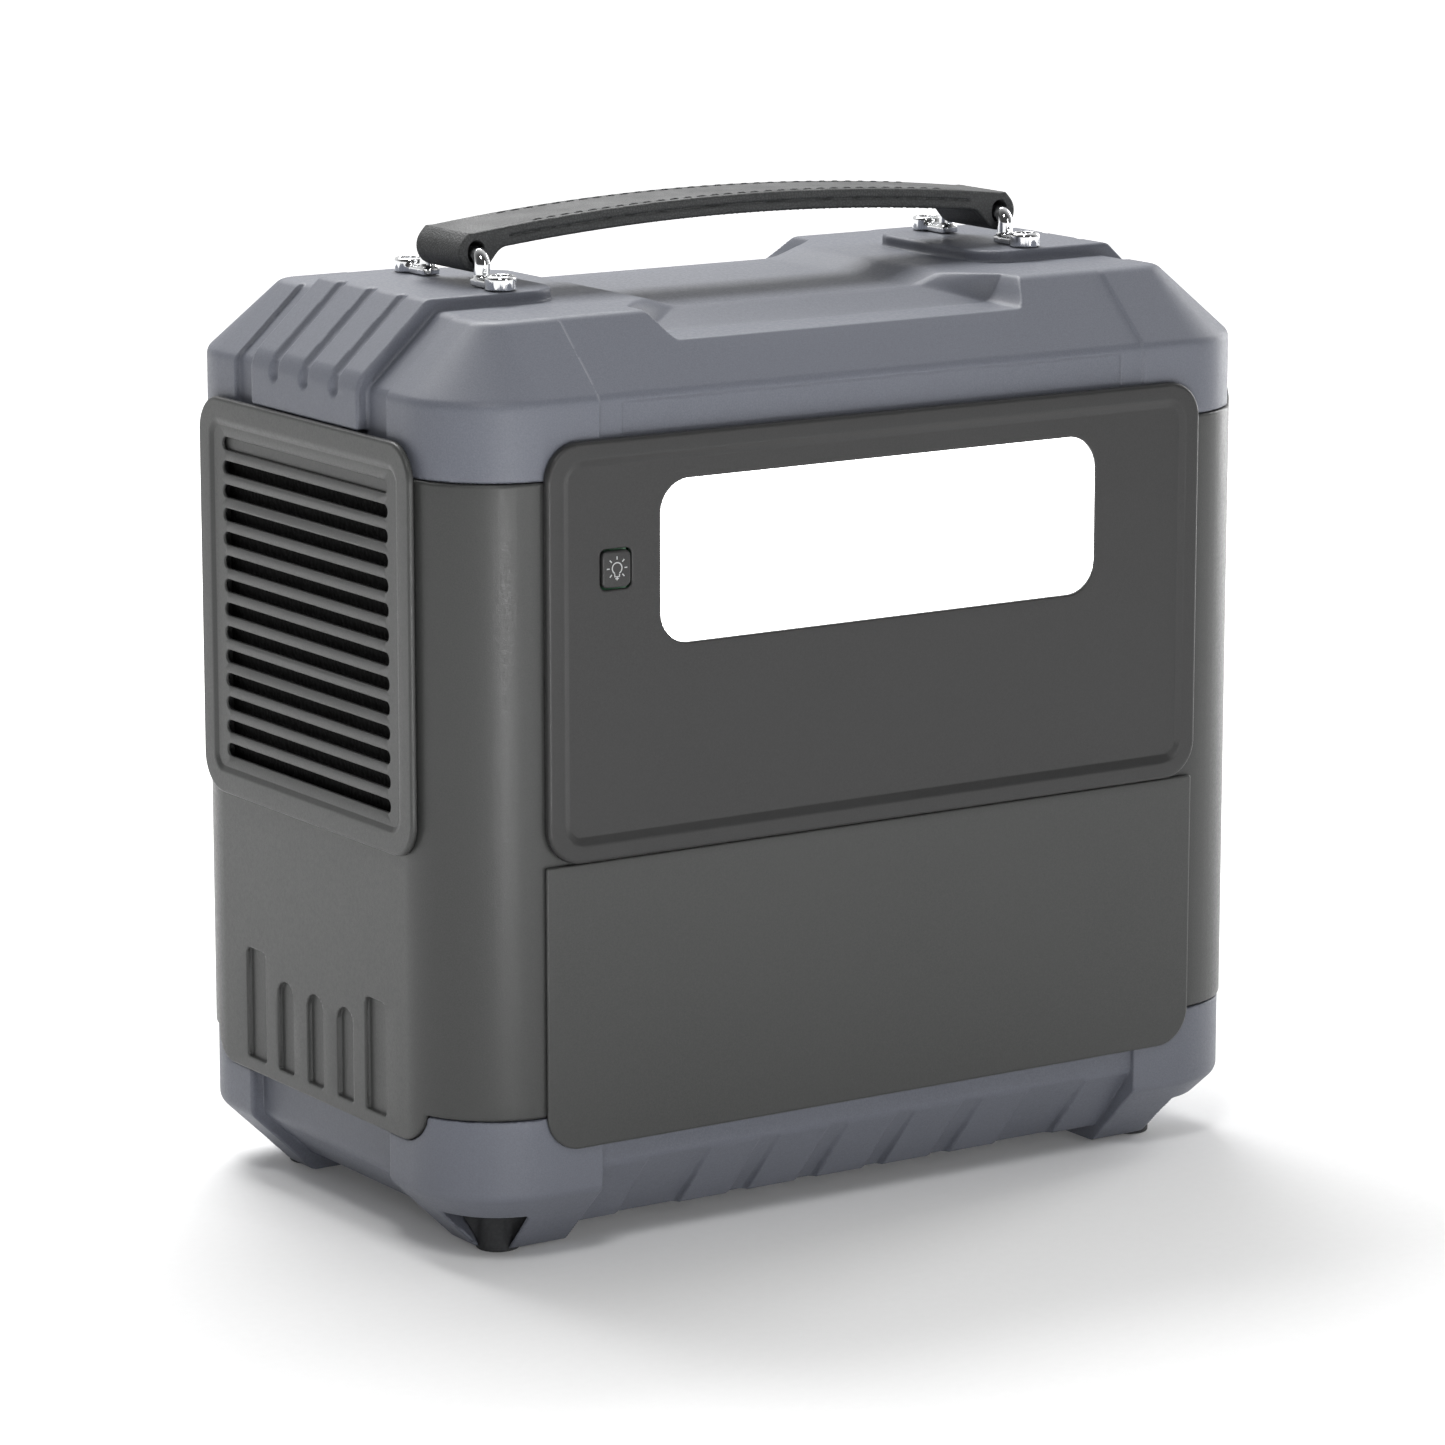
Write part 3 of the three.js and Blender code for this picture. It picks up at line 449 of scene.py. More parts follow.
def skin(name, field, low, high, step, material, thin_x=None):
    """Meshes the zero surface of a field given in millimetres, and merges its flat areas."""
    axes = [grid_lines(a, b, step, thin_x if axis == 0 else None)
            for axis, (a, b) in enumerate(zip(low, high))]
    grid = field(*np.meshgrid(*axes, indexing="ij", sparse=True)).astype(np.float32)
    inside = grid < 0
    filled = sum(inside[i:inside.shape[0] - 1 + i, j:inside.shape[1] - 1 + j, k:inside.shape[2] - 1 + k]
                 .astype(np.int8) for i in (0, 1) for j in (0, 1) for k in (0, 1))
    cells = np.argwhere((filled > 0) & (filled < 8))
    number = np.full(filled.shape, -1, np.int64)
    number[tuple(cells.T)] = np.arange(len(cells))
    total = np.zeros((len(cells), 3))
    count = np.zeros(len(cells))
    for corner, axis in CELL_EDGES:
        start = cells + corner
        end = start.copy()
        end[:, axis] += 1
        a, b = grid[tuple(start.T)], grid[tuple(end.T)]
        crossed = (a < 0) != (b < 0)
        point = np.tile(np.array(corner, float), (len(cells), 1))
        point[:, axis] += np.where(crossed, a / np.where(crossed, a - b, 1), 0)
        total[crossed] += point[crossed]
        count[crossed] += 1
    share = total / count[:, None]
    points = np.stack([line[cells[:, k]] + share[:, k] * (line[cells[:, k] + 1] - line[cells[:, k]])
                       for k, line in enumerate(axes)], axis=1)
    faces = []
    for axis in range(3):
        u, v = (axis + 1) % 3, (axis + 2) % 3
        ahead = np.roll(inside, -1, axis=axis)
        cross = inside != ahead
        cross.swapaxes(0, axis)[-1] = False
        edges = np.argwhere(cross)
        edges = edges[(edges[:, u] > 0) & (edges[:, v] > 0)]
        quad = []
        for du, dv in ((-1, -1), (0, -1), (0, 0), (-1, 0)):
            cell = edges.copy()
            cell[:, u] += du
            cell[:, v] += dv
            quad.append(number[tuple(np.minimum(cell, np.array(number.shape) - 1).T)])
        quad = np.stack(quad, axis=1)
        outward = inside[tuple(edges.T)]
        faces.append(np.where(outward[:, None], quad, quad[:, ::-1]))
    points = settle(field, points, step)
    return merged_mesh(name, points * MM, np.concatenate(faces), material)


MERGE_ANGLE = 0.4
FLAT_WEIGHT = 80
TILE = 9.0
TILE_CODE, TILE_NUMBERS, FIRST_TILE = (1, 31, 997), 32000, 40


def merged_mesh(name, points, faces, material):
    """Merges flat faces tile by tile: each tile has its own material number while it merges, which keeps
    the merged faces small and the merging quick."""
    mesh = bpy.data.meshes.new(name)
    mesh.from_pydata(points.tolist(), [], faces.tolist())
    mesh.materials.append(material)
    before = len(mesh.polygons)
    tile = np.floor(points[faces].mean(axis=1) / (TILE * MM)).astype(int) + FIRST_TILE
    mesh.polygons.foreach_set("material_index", tile @ TILE_CODE % TILE_NUMBERS)
    shape = bmesh.new()
    shape.from_mesh(mesh)
    bmesh.ops.dissolve_limit(shape, angle_limit=math.radians(MERGE_ANGLE), verts=shape.verts,
                             edges=shape.edges, delimit={"MATERIAL"})
    for face in shape.faces:
        face.material_index = 0
    shape.to_mesh(mesh)
    shape.free()
    mesh.polygons.foreach_set("use_smooth", [True] * len(mesh.polygons))
    piece = bpy.data.objects.new(name, mesh)
    bpy.context.scene.collection.objects.link(piece)
    even = piece.modifiers.new("even_shading", "WEIGHTED_NORMAL")
    even.keep_sharp = False
    even.weight = FLAT_WEIGHT
    print(f"{name}: {before} faces on the grid, {len(mesh.polygons)} after merging")
    return piece


def stands_for(piece, body, slot, *nodes):
    """Tells the frame what the piece moves with and which CAD nodes it replaces. The finish given as slot is
    not used.
    """
    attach(piece, body)
    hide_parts(*nodes)


# %% [markdown]
# ## Top cover
# The top cover is one slate moulding: a straight band, a slope all round and a flat deck. Its four corner
# blocks stand slightly proud. On each grille side a bridge with three grooves climbs to a raised pad for the
# handle, and a shallow trough in the deck leaves room for the fingers.

# %% Top cover
FINE = 0.9
CASE_X, CASE_Y, CORNER_R = 155.0, 90.5, 32.0
SEAM_HIGH, SLOPE_HIGH, DECK = 249.2, 273.0, 295.2
SLOPE_INSET = 24.2
PAD_TOP, PAD_HALF, PAD_END = 299.1, 34.0, 81.0
BRIDGE_X, BRIDGE_SLOPE_Z, BRIDGE_LOW, BRIDGE_RISE = 157.0, 275.7, 260.2, 22.2
GROOVE_SIDES, GROOVE_R = (0, 19), 3.0
BLOCK_X, BLOCK_Y = 104.0, 47.8
TROUGH_Z, LEDGE_Z = 291.6, 286.4
TROUGH_EDGE, LEDGE_SLANT = 43, 13
REBATE_X, REBATE_Z, REBATE_DEPTH = 95.4, 271.0, 1.7
HOLLOW_SLOPE, HOLLOW_TOP, HOLLOW_INSET = 270, 282, 13


def handle_bridge(x, y, z):
    out = np.abs(x)
    plan = plan_outline(out - PAD_END - 60, y, 60, PAD_HALF, 13)
    slope = slanted(out - BRIDGE_X, z - BRIDGE_SLOPE_Z, BRIDGE_RISE, SLOPE_INSET)
    climb = meet(out - BRIDGE_X, slope, 3)
    return meet(meet(meet(plan, climb, 1.0), z - PAD_TOP, 1.0), BRIDGE_LOW - z, 0.6)


def groove_line(x, y, z, groove_y):
    """Distance to a line that runs up the bridge and over its slope."""
    stops = [(BRIDGE_X + 1.2, 271.5), (BRIDGE_X + 1.2, 276.3), (BRIDGE_X - 24.2, 299.9)]
    out = np.abs(x)
    nearest = None
    for (x0, z0), (x1, z1) in zip(stops, stops[1:]):
        dx, dz = x1 - x0, z1 - z0
        along = np.clip(((out - x0) * dx + (z - z0) * dz) / (dx * dx + dz * dz), 0, 1)
        gap = np.hypot(out - x0 - along * dx, z - z0 - along * dz)
        nearest = gap if nearest is None else np.minimum(nearest, gap)
    return np.hypot(nearest, np.abs(y) - groove_y)


def deck_height(x, y):
    """Height of the deck: a trough between the pads, steps down to a ledge on each long side."""
    ax, ay = np.abs(x), np.abs(y)
    outer = np.clip((ay - TROUGH_EDGE + 2) / (LEDGE_SLANT + 2), 0, 1)
    side = TROUGH_Z + (LEDGE_Z - TROUGH_Z) * np.clip((ay - TROUGH_EDGE) / LEDGE_SLANT, 0, 1)
    start = 43 + 22 * outer
    end = 63 + 11 * outer
    rise = ease((ax - start) / (end - start))
    return side + (DECK + 0.8 - side) * rise + np.maximum(ax - end, 0) * 3


def top_cover_field(x, y, z):
    ax, ay = np.abs(x), np.abs(y)
    core = sloped_cap(x, y, z, CASE_X - 2, CASE_Y - 1, CORNER_R - 1, SLOPE_HIGH, DECK, SLOPE_INSET, 1.2)
    block = sloped_cap(x, y, z, CASE_X, CASE_Y, CORNER_R, SLOPE_HIGH, DECK, SLOPE_INSET, 1.2)
    block = meet(block, np.maximum(BLOCK_X - ax, BLOCK_Y - ay), 0.5)
    body = fuse(core, block, 0.3)
    body = fuse(body, handle_bridge(x, y, z), 0.5)
    for groove_y in GROOVE_SIDES:
        body = meet(body, GROOVE_R - groove_line(x, y, z, groove_y), 0.4)
    body = meet(body, z - deck_height(x, y), 0.5)
    rebate = np.maximum(np.maximum(ax - REBATE_X, z - REBATE_Z), CASE_Y - REBATE_DEPTH - ay)
    body = meet(body, -rebate, 0.2)
    hollow = sloped_cap(x, y, z, CASE_X - 5, CASE_Y - 4, CORNER_R - 4,
                        HOLLOW_SLOPE, HOLLOW_TOP, HOLLOW_INSET, 2)
    return np.maximum(np.maximum(body, -hollow), SEAM_HIGH - z)


top_cover = skin("top_cover_skin", top_cover_field, (-160, -93, 246), (160, 93, 302), FINE, slate_plastic)
stands_for(top_cover, "case", "slate_plastic", "top_cover")

# %% [markdown]
# ## Bottom cover
# The bottom cover mirrors the top one. Five ribs stand between hollows under each long side. The corner
# blocks, which hold the feet, reach lower than the middle.

# %% Bottom cover
SEAM_LOW, SLOPE_LOW, FLOOR_Z = 48.7, 23.2, 0.7
SHELL_X, SHELL_Y, SHELL_WALL = 156.0, 90.2, 3.0
TAB_INNER_X = 120
MIDDLE_Z = 6.3
LOW_INSET = 19
RIB_PITCH, RIB_WIDTH = 26.5, 18.7
RIB_TOP, RIB_END, HOLLOW_RISE, HOLLOW_RUN = 29.7, 86, 25.7, 23.8
TAB_ROOM_Y, TAB_ROOM_Z, TAB_ROOM_R, TAB_ROOM_DEPTH = (-67.3, 67.3), (38.7, 90), 12.3, 2.8
FOOT_OUT, FOOT_R, FOOT_TOP, FOOT_BACK, FOOT_FRONT = 2.4, 7.0, 15.3, 3.6, 7.0
PLATE_LOW_HALF, PLATE_TAPER = 4, 9.4 / 14.6


def rib_hollow(x, y, z):
    """Hollows between the ribs; the one at each end is wider."""
    ax, ay = np.abs(x), np.abs(y)
    slot = np.minimum(np.abs(ax - RIB_PITCH / 2), np.abs(ax - 1.5 * RIB_PITCH)) - (RIB_PITCH - RIB_WIDTH) / 2
    first = 2 * RIB_PITCH + RIB_WIDTH / 2
    end = np.abs(ax - (first + RIB_END) / 2) - (RIB_END - first) / 2
    across = np.minimum(slot, end)
    depth = slanted(CASE_Y - 2.5 - ay, z - RIB_TOP, HOLLOW_RISE, HOLLOW_RUN)
    return np.maximum(meet(across, depth, 0.8), z - RIB_TOP)


def foot_place(x, y):
    """Distance out along the corner's diagonal, and across it."""
    from_x, from_y = np.abs(x) - (CASE_X - CORNER_R), np.abs(y) - (CASE_Y - CORNER_R)
    return (from_x + from_y) / math.sqrt(2), (from_x - from_y) / math.sqrt(2)


def foot_plate(out, across, z, grow):
    """The tapered plate behind a foot: wide at the top, narrow at the floor."""
    half = PLATE_LOW_HALF + (z - FLOOR_Z) * PLATE_TAPER + grow
    return np.maximum(np.maximum((np.abs(across) - half) * 0.83, z - FOOT_TOP - grow), FOOT_BACK - grow - out)


def bottom_cover_field(x, y, z):
    ax, ay = np.abs(x), np.abs(y)
    core = sloped_cap(x, y, z, CASE_X - 4.6, CASE_Y - 2, CORNER_R, SLOPE_LOW, MIDDLE_Z, LOW_INSET, 1.5)
    rib_face = slanted(ay - CASE_Y + 2, RIB_TOP - z, RIB_TOP - MIDDLE_Z, LOW_INSET)
    core = meet(core, rib_face, 1.0)
    block = sloped_cap(x, y, z, CASE_X, CASE_Y, CORNER_R, SLOPE_LOW, FLOOR_Z, 23, 1.2)
    block = meet(block, np.maximum(BLOCK_X - ax, 45 - ay), 0.4)
    body = meet(fuse(core, block, 0.3), -rib_hollow(x, y, z), 0.35)
    behind_tab = -TAB_ROOM_DEPTH - plan_outline(x, y, SHELL_X, SHELL_Y, CORNER_R)
    tab_room = np.maximum(patch(y, z, TAB_ROOM_Y, TAB_ROOM_Z, TAB_ROOM_R), behind_tab)
    body = np.maximum(body, -np.maximum(tab_room, TAB_INNER_X - ax))
    out, across = foot_place(x, y)
    body = meet(body, -foot_plate(out, across, z, 0.3), 0.5)
    body = np.maximum(body, -np.maximum(np.hypot(out - FOOT_OUT, across) - FOOT_R - 0.3, z - FOOT_TOP - 0.3))
    hollow = sloped_cap(x, y, z, CASE_X - 7.5, CASE_Y - 6.5, CORNER_R - 5, 30, 12, LOW_INSET, 2)
    solid_corner = np.maximum(np.maximum(112 - ax, 44 - ay), z - 26)
    return np.maximum(np.maximum(body, -np.maximum(hollow, -solid_corner)), z - SEAM_LOW)


bottom_cover = skin("bottom_cover_skin", bottom_cover_field, (-160, -93, -2), (160, 93, 52), FINE,
                    slate_plastic)
stands_for(bottom_cover, "case", "slate_plastic", "bottom_cover")

# %% [markdown]
# ## Feet
# Each corner has a notch that faces outward. A rubber foot stands in it: an upright rod that reaches the
# floor, in front of a plate that fills the back of the notch.

# %% Feet
SCREW_SEAT_R, SCREW_SEAT_TOP = 4.3, 3.5
FOOT_BOX_X, FOOT_BOX_Y, FOOT_STEP = (115, 142), (51, 77), 0.55


def foot_field(x, y, z):
    out, across = foot_place(x, y)
    rod = meet(np.hypot(out - FOOT_OUT, across) - FOOT_R, z - FOOT_TOP, 0.3)
    plate = meet(foot_plate(out, across, z, 0.0), out - FOOT_FRONT, 0.4)
    body = meet(fuse(rod, plate, 0.8), -z, 0.6)
    seat = np.hypot(out - FOOT_OUT, across) - SCREW_SEAT_R
    return np.maximum(body, -np.maximum(seat, z - SCREW_SEAT_TOP))


for end_x, sx in (("left", -1), ("right", 1)):
    for end_y, sy in (("front", -1), ("back", 1)):
        name = f"{end_x}_{end_y}_foot"
        low_x, high_x = sorted(sx * edge for edge in FOOT_BOX_X)
        low_y, high_y = sorted(sy * edge for edge in FOOT_BOX_Y)
        foot = skin(f"{name}_pad", foot_field, (low_x, low_y, -2), (high_x, high_y, 17), FOOT_STEP, rubber)
        stands_for(foot, "case", "rubber", name)

# %% [markdown]
# ## Main shell
# The shell is one grey sleeve between the two covers. Its columns have the same large radius as the covers.
# On the grille sides a tab hangs over the bottom cover, with five upright recesses in it.

# %% Main shell
TAB_LOW, TAB_HALF, TAB_THICK = 39.0, 67.0, 2.2
RECESS_PITCH, RECESS_DEPTH = 19.3, 1.7
RECESS_LOW, WIDE_TOP, NARROW_TOP = 43.6, 80.4, 73.4
SEAM_GAP = 0.3
THIN_WALL_LINES = (153.0, 156.6, 0.3)


def recess_outline(y, z):
    """The wide outer recesses and the three narrow, round-topped ones between them."""
    ay = np.abs(y)
    wide = patch(ay - 2 * RECESS_PITCH, z, (-6.2, 6.2), (RECESS_LOW, WIDE_TOP), 0.8, 2.2)
    narrow = np.minimum(patch(ay - RECESS_PITCH, z, (-5, 5), (RECESS_LOW, NARROW_TOP), 0.8, 4.6),
                        patch(y, z, (-5, 5), (RECESS_LOW, NARROW_TOP), 0.8, 4.6))
    return np.minimum(wide, narrow)


def main_shell_field(x, y, z):
    ax, ay = np.abs(x), np.abs(y)
    outline = plan_outline(x, y, SHELL_X, SHELL_Y, CORNER_R)
    outside = meet(outline, between(z, SEAM_LOW + SEAM_GAP, SEAM_HIGH - SEAM_GAP), 0.8)
    inside = plan_outline(x, y, SHELL_X - SHELL_WALL, SHELL_Y - SHELL_WALL, CORNER_R - SHELL_WALL)
    sheet = np.maximum(np.maximum(outline, -outline - TAB_THICK), TAB_INNER_X - ax)
    tab = meet(patch(y, z, (-TAB_HALF, TAB_HALF), (TAB_LOW, 74), 12), sheet, 0.5)
    body = np.minimum(np.maximum(outside, -inside), tab)
    recess = np.maximum(recess_outline(y, z), SHELL_X - RECESS_DEPTH - ax)
    body = meet(body, -recess, 0.35)
    side_mouth = np.maximum(ay - 56, between(z, 139, 240))
    long_mouth = np.maximum(ax - 112, between(z, 142, 240))
    mouths = np.minimum(np.maximum(side_mouth, 140 - ax), np.maximum(long_mouth, 80 - ay))
    return np.maximum(body, -mouths)


main_shell = skin("main_shell_skin", main_shell_field, (-159, -93, 36), (159, 93, 252), FINE * 1.15,
                  case_plastic, thin_x=THIN_WALL_LINES)
stands_for(main_shell, "case", "case_plastic", "main_shell")

# %% [markdown]
# ## Panels on the long sides
# Both long sides carry a framed plate: a raised rim, a narrow bevel and a field set back behind it. The
# lamp side has a window and a button in the field; the control side has its sockets there.

# %% Framed plates and skirts
PANEL_X, PANEL_Z, PANEL_R = 125.0, (129.0, 260.7), 12.0
PLATE_BACK, FIELD_Y, PLATE_FRONT = 90.8, 92.4, 93.6
WINDOW_X, WINDOW_Z = 83.5, (194.5, 246.0)
BUTTON_X, BUTTON_Z, BUTTON_W, BUTTON_H = -99.75, 220.1, 10.5, 11.7


FRAME_WIDTH = 8


def framed_plate(x, out, z):
    rim = meet(patch(x, z, (-PANEL_X, PANEL_X), PANEL_Z, PANEL_R), out - PLATE_FRONT, 1.4)
    half, low, high = PANEL_X - FRAME_WIDTH, PANEL_Z[0] + FRAME_WIDTH, PANEL_Z[1] - FRAME_WIDTH
    field = patch(x, z, (-half, half), (low, high), 5)
    bevel = (field - (out - FIELD_Y) * 2) / math.sqrt(5)
    return np.maximum(meet(rim, -np.maximum(bevel, FIELD_Y - out), 0.12), PLATE_BACK - out)


def button_outline(x, z, grow):
    half_w, half_h = BUTTON_W / 2 + grow, BUTTON_H / 2 + grow
    return patch(x - BUTTON_X, z - BUTTON_Z, (-half_w, half_w), (-half_h, half_h), 2)


def lamp_panel_field(x, y, z):
    window = patch(x, z, (-WINDOW_X, WINDOW_X), WINDOW_Z, 10.5)
    return meet(framed_plate(x, -y, z), -np.minimum(window, button_outline(x, z, 0.5)), 0.3)


OUTLETS = [(53, 221), (89, 221)]
USB_X, USB_Z = (-38, 38), (172, 194)
ROUND_PARTS = {"car_socket": (-82, 221, 16), "dc_input": (-98, 172, 8), "main_button": (0, 153, 7),
               "ac_button": (71, 178, 6), "dc_button": (-68, 178, 6)}


def control_panel_field(x, y, z):
    display_hole = patch(x, z, (-33.3, 33.3), (205.7, 246.3), 3)
    holes = np.minimum(display_hole, patch(x, z, (-38.3, 38.3), (171.7, 194.3), 3))
    for at_x, at_z in OUTLETS:
        holes = np.minimum(holes, patch(x - at_x, z - at_z, (-16.3, 16.3), (-23.3, 23.3), 4))
    for at_x, at_z, radius in ROUND_PARTS.values():
        holes = np.minimum(holes, np.hypot(x - at_x, z - at_z) - radius - 0.3)
    return meet(framed_plate(x, y, z), -holes, 0.3)


def skirt_field(x, y, z):
    outline = patch(x, z, (-PANEL_X, PANEL_X), (37.7, 128.7), PANEL_R, 0.6)
    return np.maximum(meet(outline, np.abs(y) - 92, 0.6), PLATE_BACK - np.abs(y))


PLATE_STEP = 0.6
for name, field, side, material, slot in (
        ("lamp_panel", lamp_panel_field, -1, panel_plastic, "panel_plastic"),
        ("control_panel", control_panel_field, 1, panel_plastic, "panel_plastic"),
        ("lamp_skirt", skirt_field, -1, case_plastic, "case_plastic"),
        ("control_skirt", skirt_field, 1, case_plastic, "case_plastic")):
    near, far = sorted((side * 89.5, side * 95))
    bottom, top = (36, 131) if name.endswith("skirt") else (127, 263)
    plate = skin(f"{name}_plate", field, (-127, near, bottom), (127, far, top), PLATE_STEP, material)
    stands_for(plate, "case", slot, name)

# %% [markdown]
# ## Lamp button
# The button's face is slightly domed. Its printed bulb is drawn from thin raised strokes, and the rays are
# one stroke that a node group copies round the bulb.

# %% Strokes and copies
def ribbon(points, width, closed=False):
    """Corners of a band of a given width along a flat path."""
    path = np.array(points, float)
    ahead = np.roll(path, -1, axis=0) - path
    if not closed:
        ahead[-1] = ahead[-2]
    back = np.roll(ahead, 1, axis=0)
    if not closed:
        back[0] = ahead[0]
    along = ahead / np.linalg.norm(ahead, axis=1)[:, None] + back / np.linalg.norm(back, axis=1)[:, None]
    along /= np.linalg.norm(along, axis=1)[:, None]
    side = np.stack([-along[:, 1], along[:, 0]], axis=1) * width / 2
    return path + side, path - side


def stroke(points, width, face, side, height=0.12, closed=False):
    """A closed thin band on a plate that faces -Y (side -1) or +Y (side 1)."""
    left, right = ribbon(points, width, closed)
    rings = []
    for a, b in zip(left, right):
        rings.append([(a[0], side * face, a[1]), (b[0], side * face, b[1]),
                      (b[0], side * (face - height), b[1]), (a[0], side * (face - height), a[1])])
    verts = [v for ring in rings for v in ring]
    faces = []
    count = len(rings)
    for index in range(count if closed else count - 1):
        a, b = index * 4, (index + 1) % count * 4
        faces += [(a + k, a + (k + 1) % 4, b + (k + 1) % 4, b + k) for k in range(4)]
    if not closed:
        faces += [(3, 2, 1, 0), tuple(4 * count - 4 + k for k in range(4))]
    return verts, faces


def box(x_range, y_range, z_range):
    """Vertices and faces of a box given by its three ranges."""
    verts = [(x_range[i], y_range[j], z) for z in z_range for i, j in ((0, 0), (1, 0), (1, 1), (0, 1))]
    sides = [(k, (k + 1) % 4, (k + 1) % 4 + 4, k + 4) for k in range(4)]
    return verts, [(0, 1, 2, 3), (4, 5, 6, 7)] + sides


def from_parts(name, parts, material):
    """One object from several (vertices, faces) lists in millimetres, with its faces turned outward."""
    verts, faces = [], []
    for part_verts, part_faces in parts:
        start = len(verts)
        verts += [tuple(c * MM for c in v) for v in part_verts]
        faces += [tuple(start + i for i in face) for face in part_faces]
    mesh = bpy.data.meshes.new(name)
    mesh.from_pydata(verts, [], faces)
    mesh.materials.append(material)
    shape = bmesh.new()
    shape.from_mesh(mesh)
    bmesh.ops.recalc_face_normals(shape, faces=shape.faces)
    shape.to_mesh(mesh)
    shape.free()
    piece = bpy.data.objects.new(name, mesh)
    bpy.context.scene.collection.objects.link(piece)
    return piece


def arc(centre, radius, start, end, steps=24):
    return [(centre[0] + radius * math.cos(math.radians(a)), centre[1] + radius * math.sin(math.radians(a)))
            for a in np.linspace(start, end, steps)]


# %% Node groups
class Group:
    """A geometry node group with named inputs, built step by step."""

    def __init__(self, name, inputs):
        self.tree = bpy.data.node_groups.new(name, "GeometryNodeTree")
        face = self.tree.interface
        face.new_socket("Geometry", in_out="INPUT", socket_type="NodeSocketGeometry")
        self.sockets = {key: face.new_socket(key, in_out="INPUT", socket_type=kind).identifier
                        for key, kind in inputs.items()}
        face.new_socket("Geometry", in_out="OUTPUT", socket_type="NodeSocketGeometry")
        self.input = self.tree.nodes.new("NodeGroupInput").outputs
        self.output = self.tree.nodes.new("NodeGroupOutput").inputs

    def add(self, kind, inputs=(), out=0, **settings):
        node = self.tree.nodes.new(kind)
        for key, value in settings.items():
            setattr(node, key, value)
        for key, value in dict(inputs).items():
            if isinstance(value, bpy.types.NodeSocket):
                self.tree.links.new(value, node.inputs[key])
            else:
                node.inputs[key].default_value = value
        return node.outputs[out]

    def close(self, geometry):
        """Ends the group with real geometry and one material."""
        real = self.add("GeometryNodeRealizeInstances", {0: geometry})
        painted = self.add("GeometryNodeSetMaterial", {0: real, "Material": self.input["Material"]})
        self.tree.links.new(painted, self.output[0])

    def run(self, name, base, **values):
        """Evaluates the group on an object's mesh and returns the result as a plain object."""
        modifier = base.modifiers.new("copies", "NODES")
        modifier.node_group = self.tree
        for key, value in values.items():
            modifier[self.sockets[key.replace("_", " ")]] = value
        bpy.context.view_layer.update()
        ready = base.evaluated_get(bpy.context.evaluated_depsgraph_get())
        mesh = bpy.data.meshes.new_from_object(ready)
        mesh.name = name
        piece = bpy.data.objects.new(name, mesh)
        bpy.context.scene.collection.objects.link(piece)
        base.modifiers.remove(modifier)
        return piece


def discard(*pieces):
    for piece in pieces:
        bpy.data.objects.remove(piece)


def ray_group():
    """Copies a stroke round a centre in a plane that faces along Y."""
    group = Group("rays", {"Count": "NodeSocketInt", "Centre": "NodeSocketVector",
                           "Radius": "NodeSocketFloat", "Material": "NodeSocketMaterial"})
    given = group.input
    circle = group.add("GeometryNodeMeshCircle", {"Vertices": given["Count"], "Radius": given["Radius"]})
    number = group.add("GeometryNodeInputIndex")
    part = group.add("ShaderNodeMath", {0: number, 1: given["Count"]}, operation="DIVIDE")
    angle = group.add("ShaderNodeMath", {0: part, 1: 2 * math.pi}, operation="MULTIPLY")
    turn = group.add("ShaderNodeCombineXYZ", {"Z": angle})
    spread = group.add("GeometryNodeInstanceOnPoints", {"Points": circle, "Instance": given["Geometry"],
                                                         "Rotation": turn})
    placed = group.add("GeometryNodeTransform", {"Geometry": spread, "Translation": given["Centre"],
                                                  "Rotation": (math.pi / 2, 0, 0)})
    group.close(placed)
    return group


# %% Lamp button
BUTTON_FACE = 92.9
DOME = 0.004
LINE_WIDTH = 0.36


def lamp_button_field(x, y, z):
    dx, dz = x - BUTTON_X, z - BUTTON_Z
    face = -y - (BUTTON_FACE - DOME * (dx ** 2 + dz ** 2))
    cap = meet(meet(button_outline(x, z, -0.1), face, 0.6), 90 + y, 0.2)
    stem = np.maximum(np.maximum(np.abs(dx), np.abs(dz)) - 2, between(y, -91, -86))
    return np.minimum(cap, stem)


lamp_button = skin("lamp_button_cap", lamp_button_field, (-107, -94, 213), (-93, -85, 228), 0.3,
                   panel_plastic)
stands_for(lamp_button, "lamp_button_body", "black_plastic", "lamp_button")

bulb_z = BUTTON_Z + 0.3
bulb = arc((BUTTON_X, bulb_z), 1.75, -60, 240)
neck = [(BUTTON_X - 0.85, bulb_z - 1.75), (BUTTON_X - 0.85, bulb_z - 2.6), (BUTTON_X + 0.85, bulb_z - 2.6),
        (BUTTON_X + 0.85, bulb_z - 1.75)]
foot_line = [(BUTTON_X - 0.6, bulb_z - 3.2), (BUTTON_X + 0.6, bulb_z - 3.2)]
bulb_mark = from_parts("bulb_mark", [stroke(line, LINE_WIDTH, BUTTON_FACE + 0.03, -1)
                                     for line in (bulb, neck, foot_line)], pale_ink)
ray = from_parts("ray", [box((0, 1.0), (-LINE_WIDTH / 2, LINE_WIDTH / 2), (-0.1, 0.02))], pale_ink)
ray_marks = ray_group().run("ray_marks", ray, Count=8, Radius=2.7 * MM, Material=pale_ink,
                            Centre=(BUTTON_X * MM, -BUTTON_FACE * MM, bulb_z * MM))
discard(ray)
for mark in (bulb_mark, ray_marks):
    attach(mark, "lamp_button_body")
print("button marks:", len(bulb_mark.data.polygons) + len(ray_marks.data.polygons), "faces")

# %% [markdown]
# ## Control side
# The sockets, buttons and display fill the openings of the control panel. Their bores, blade slots and pins
# are real hollows. Plain symbols mark the buttons: a power sign, a wave and a pair of level lines.

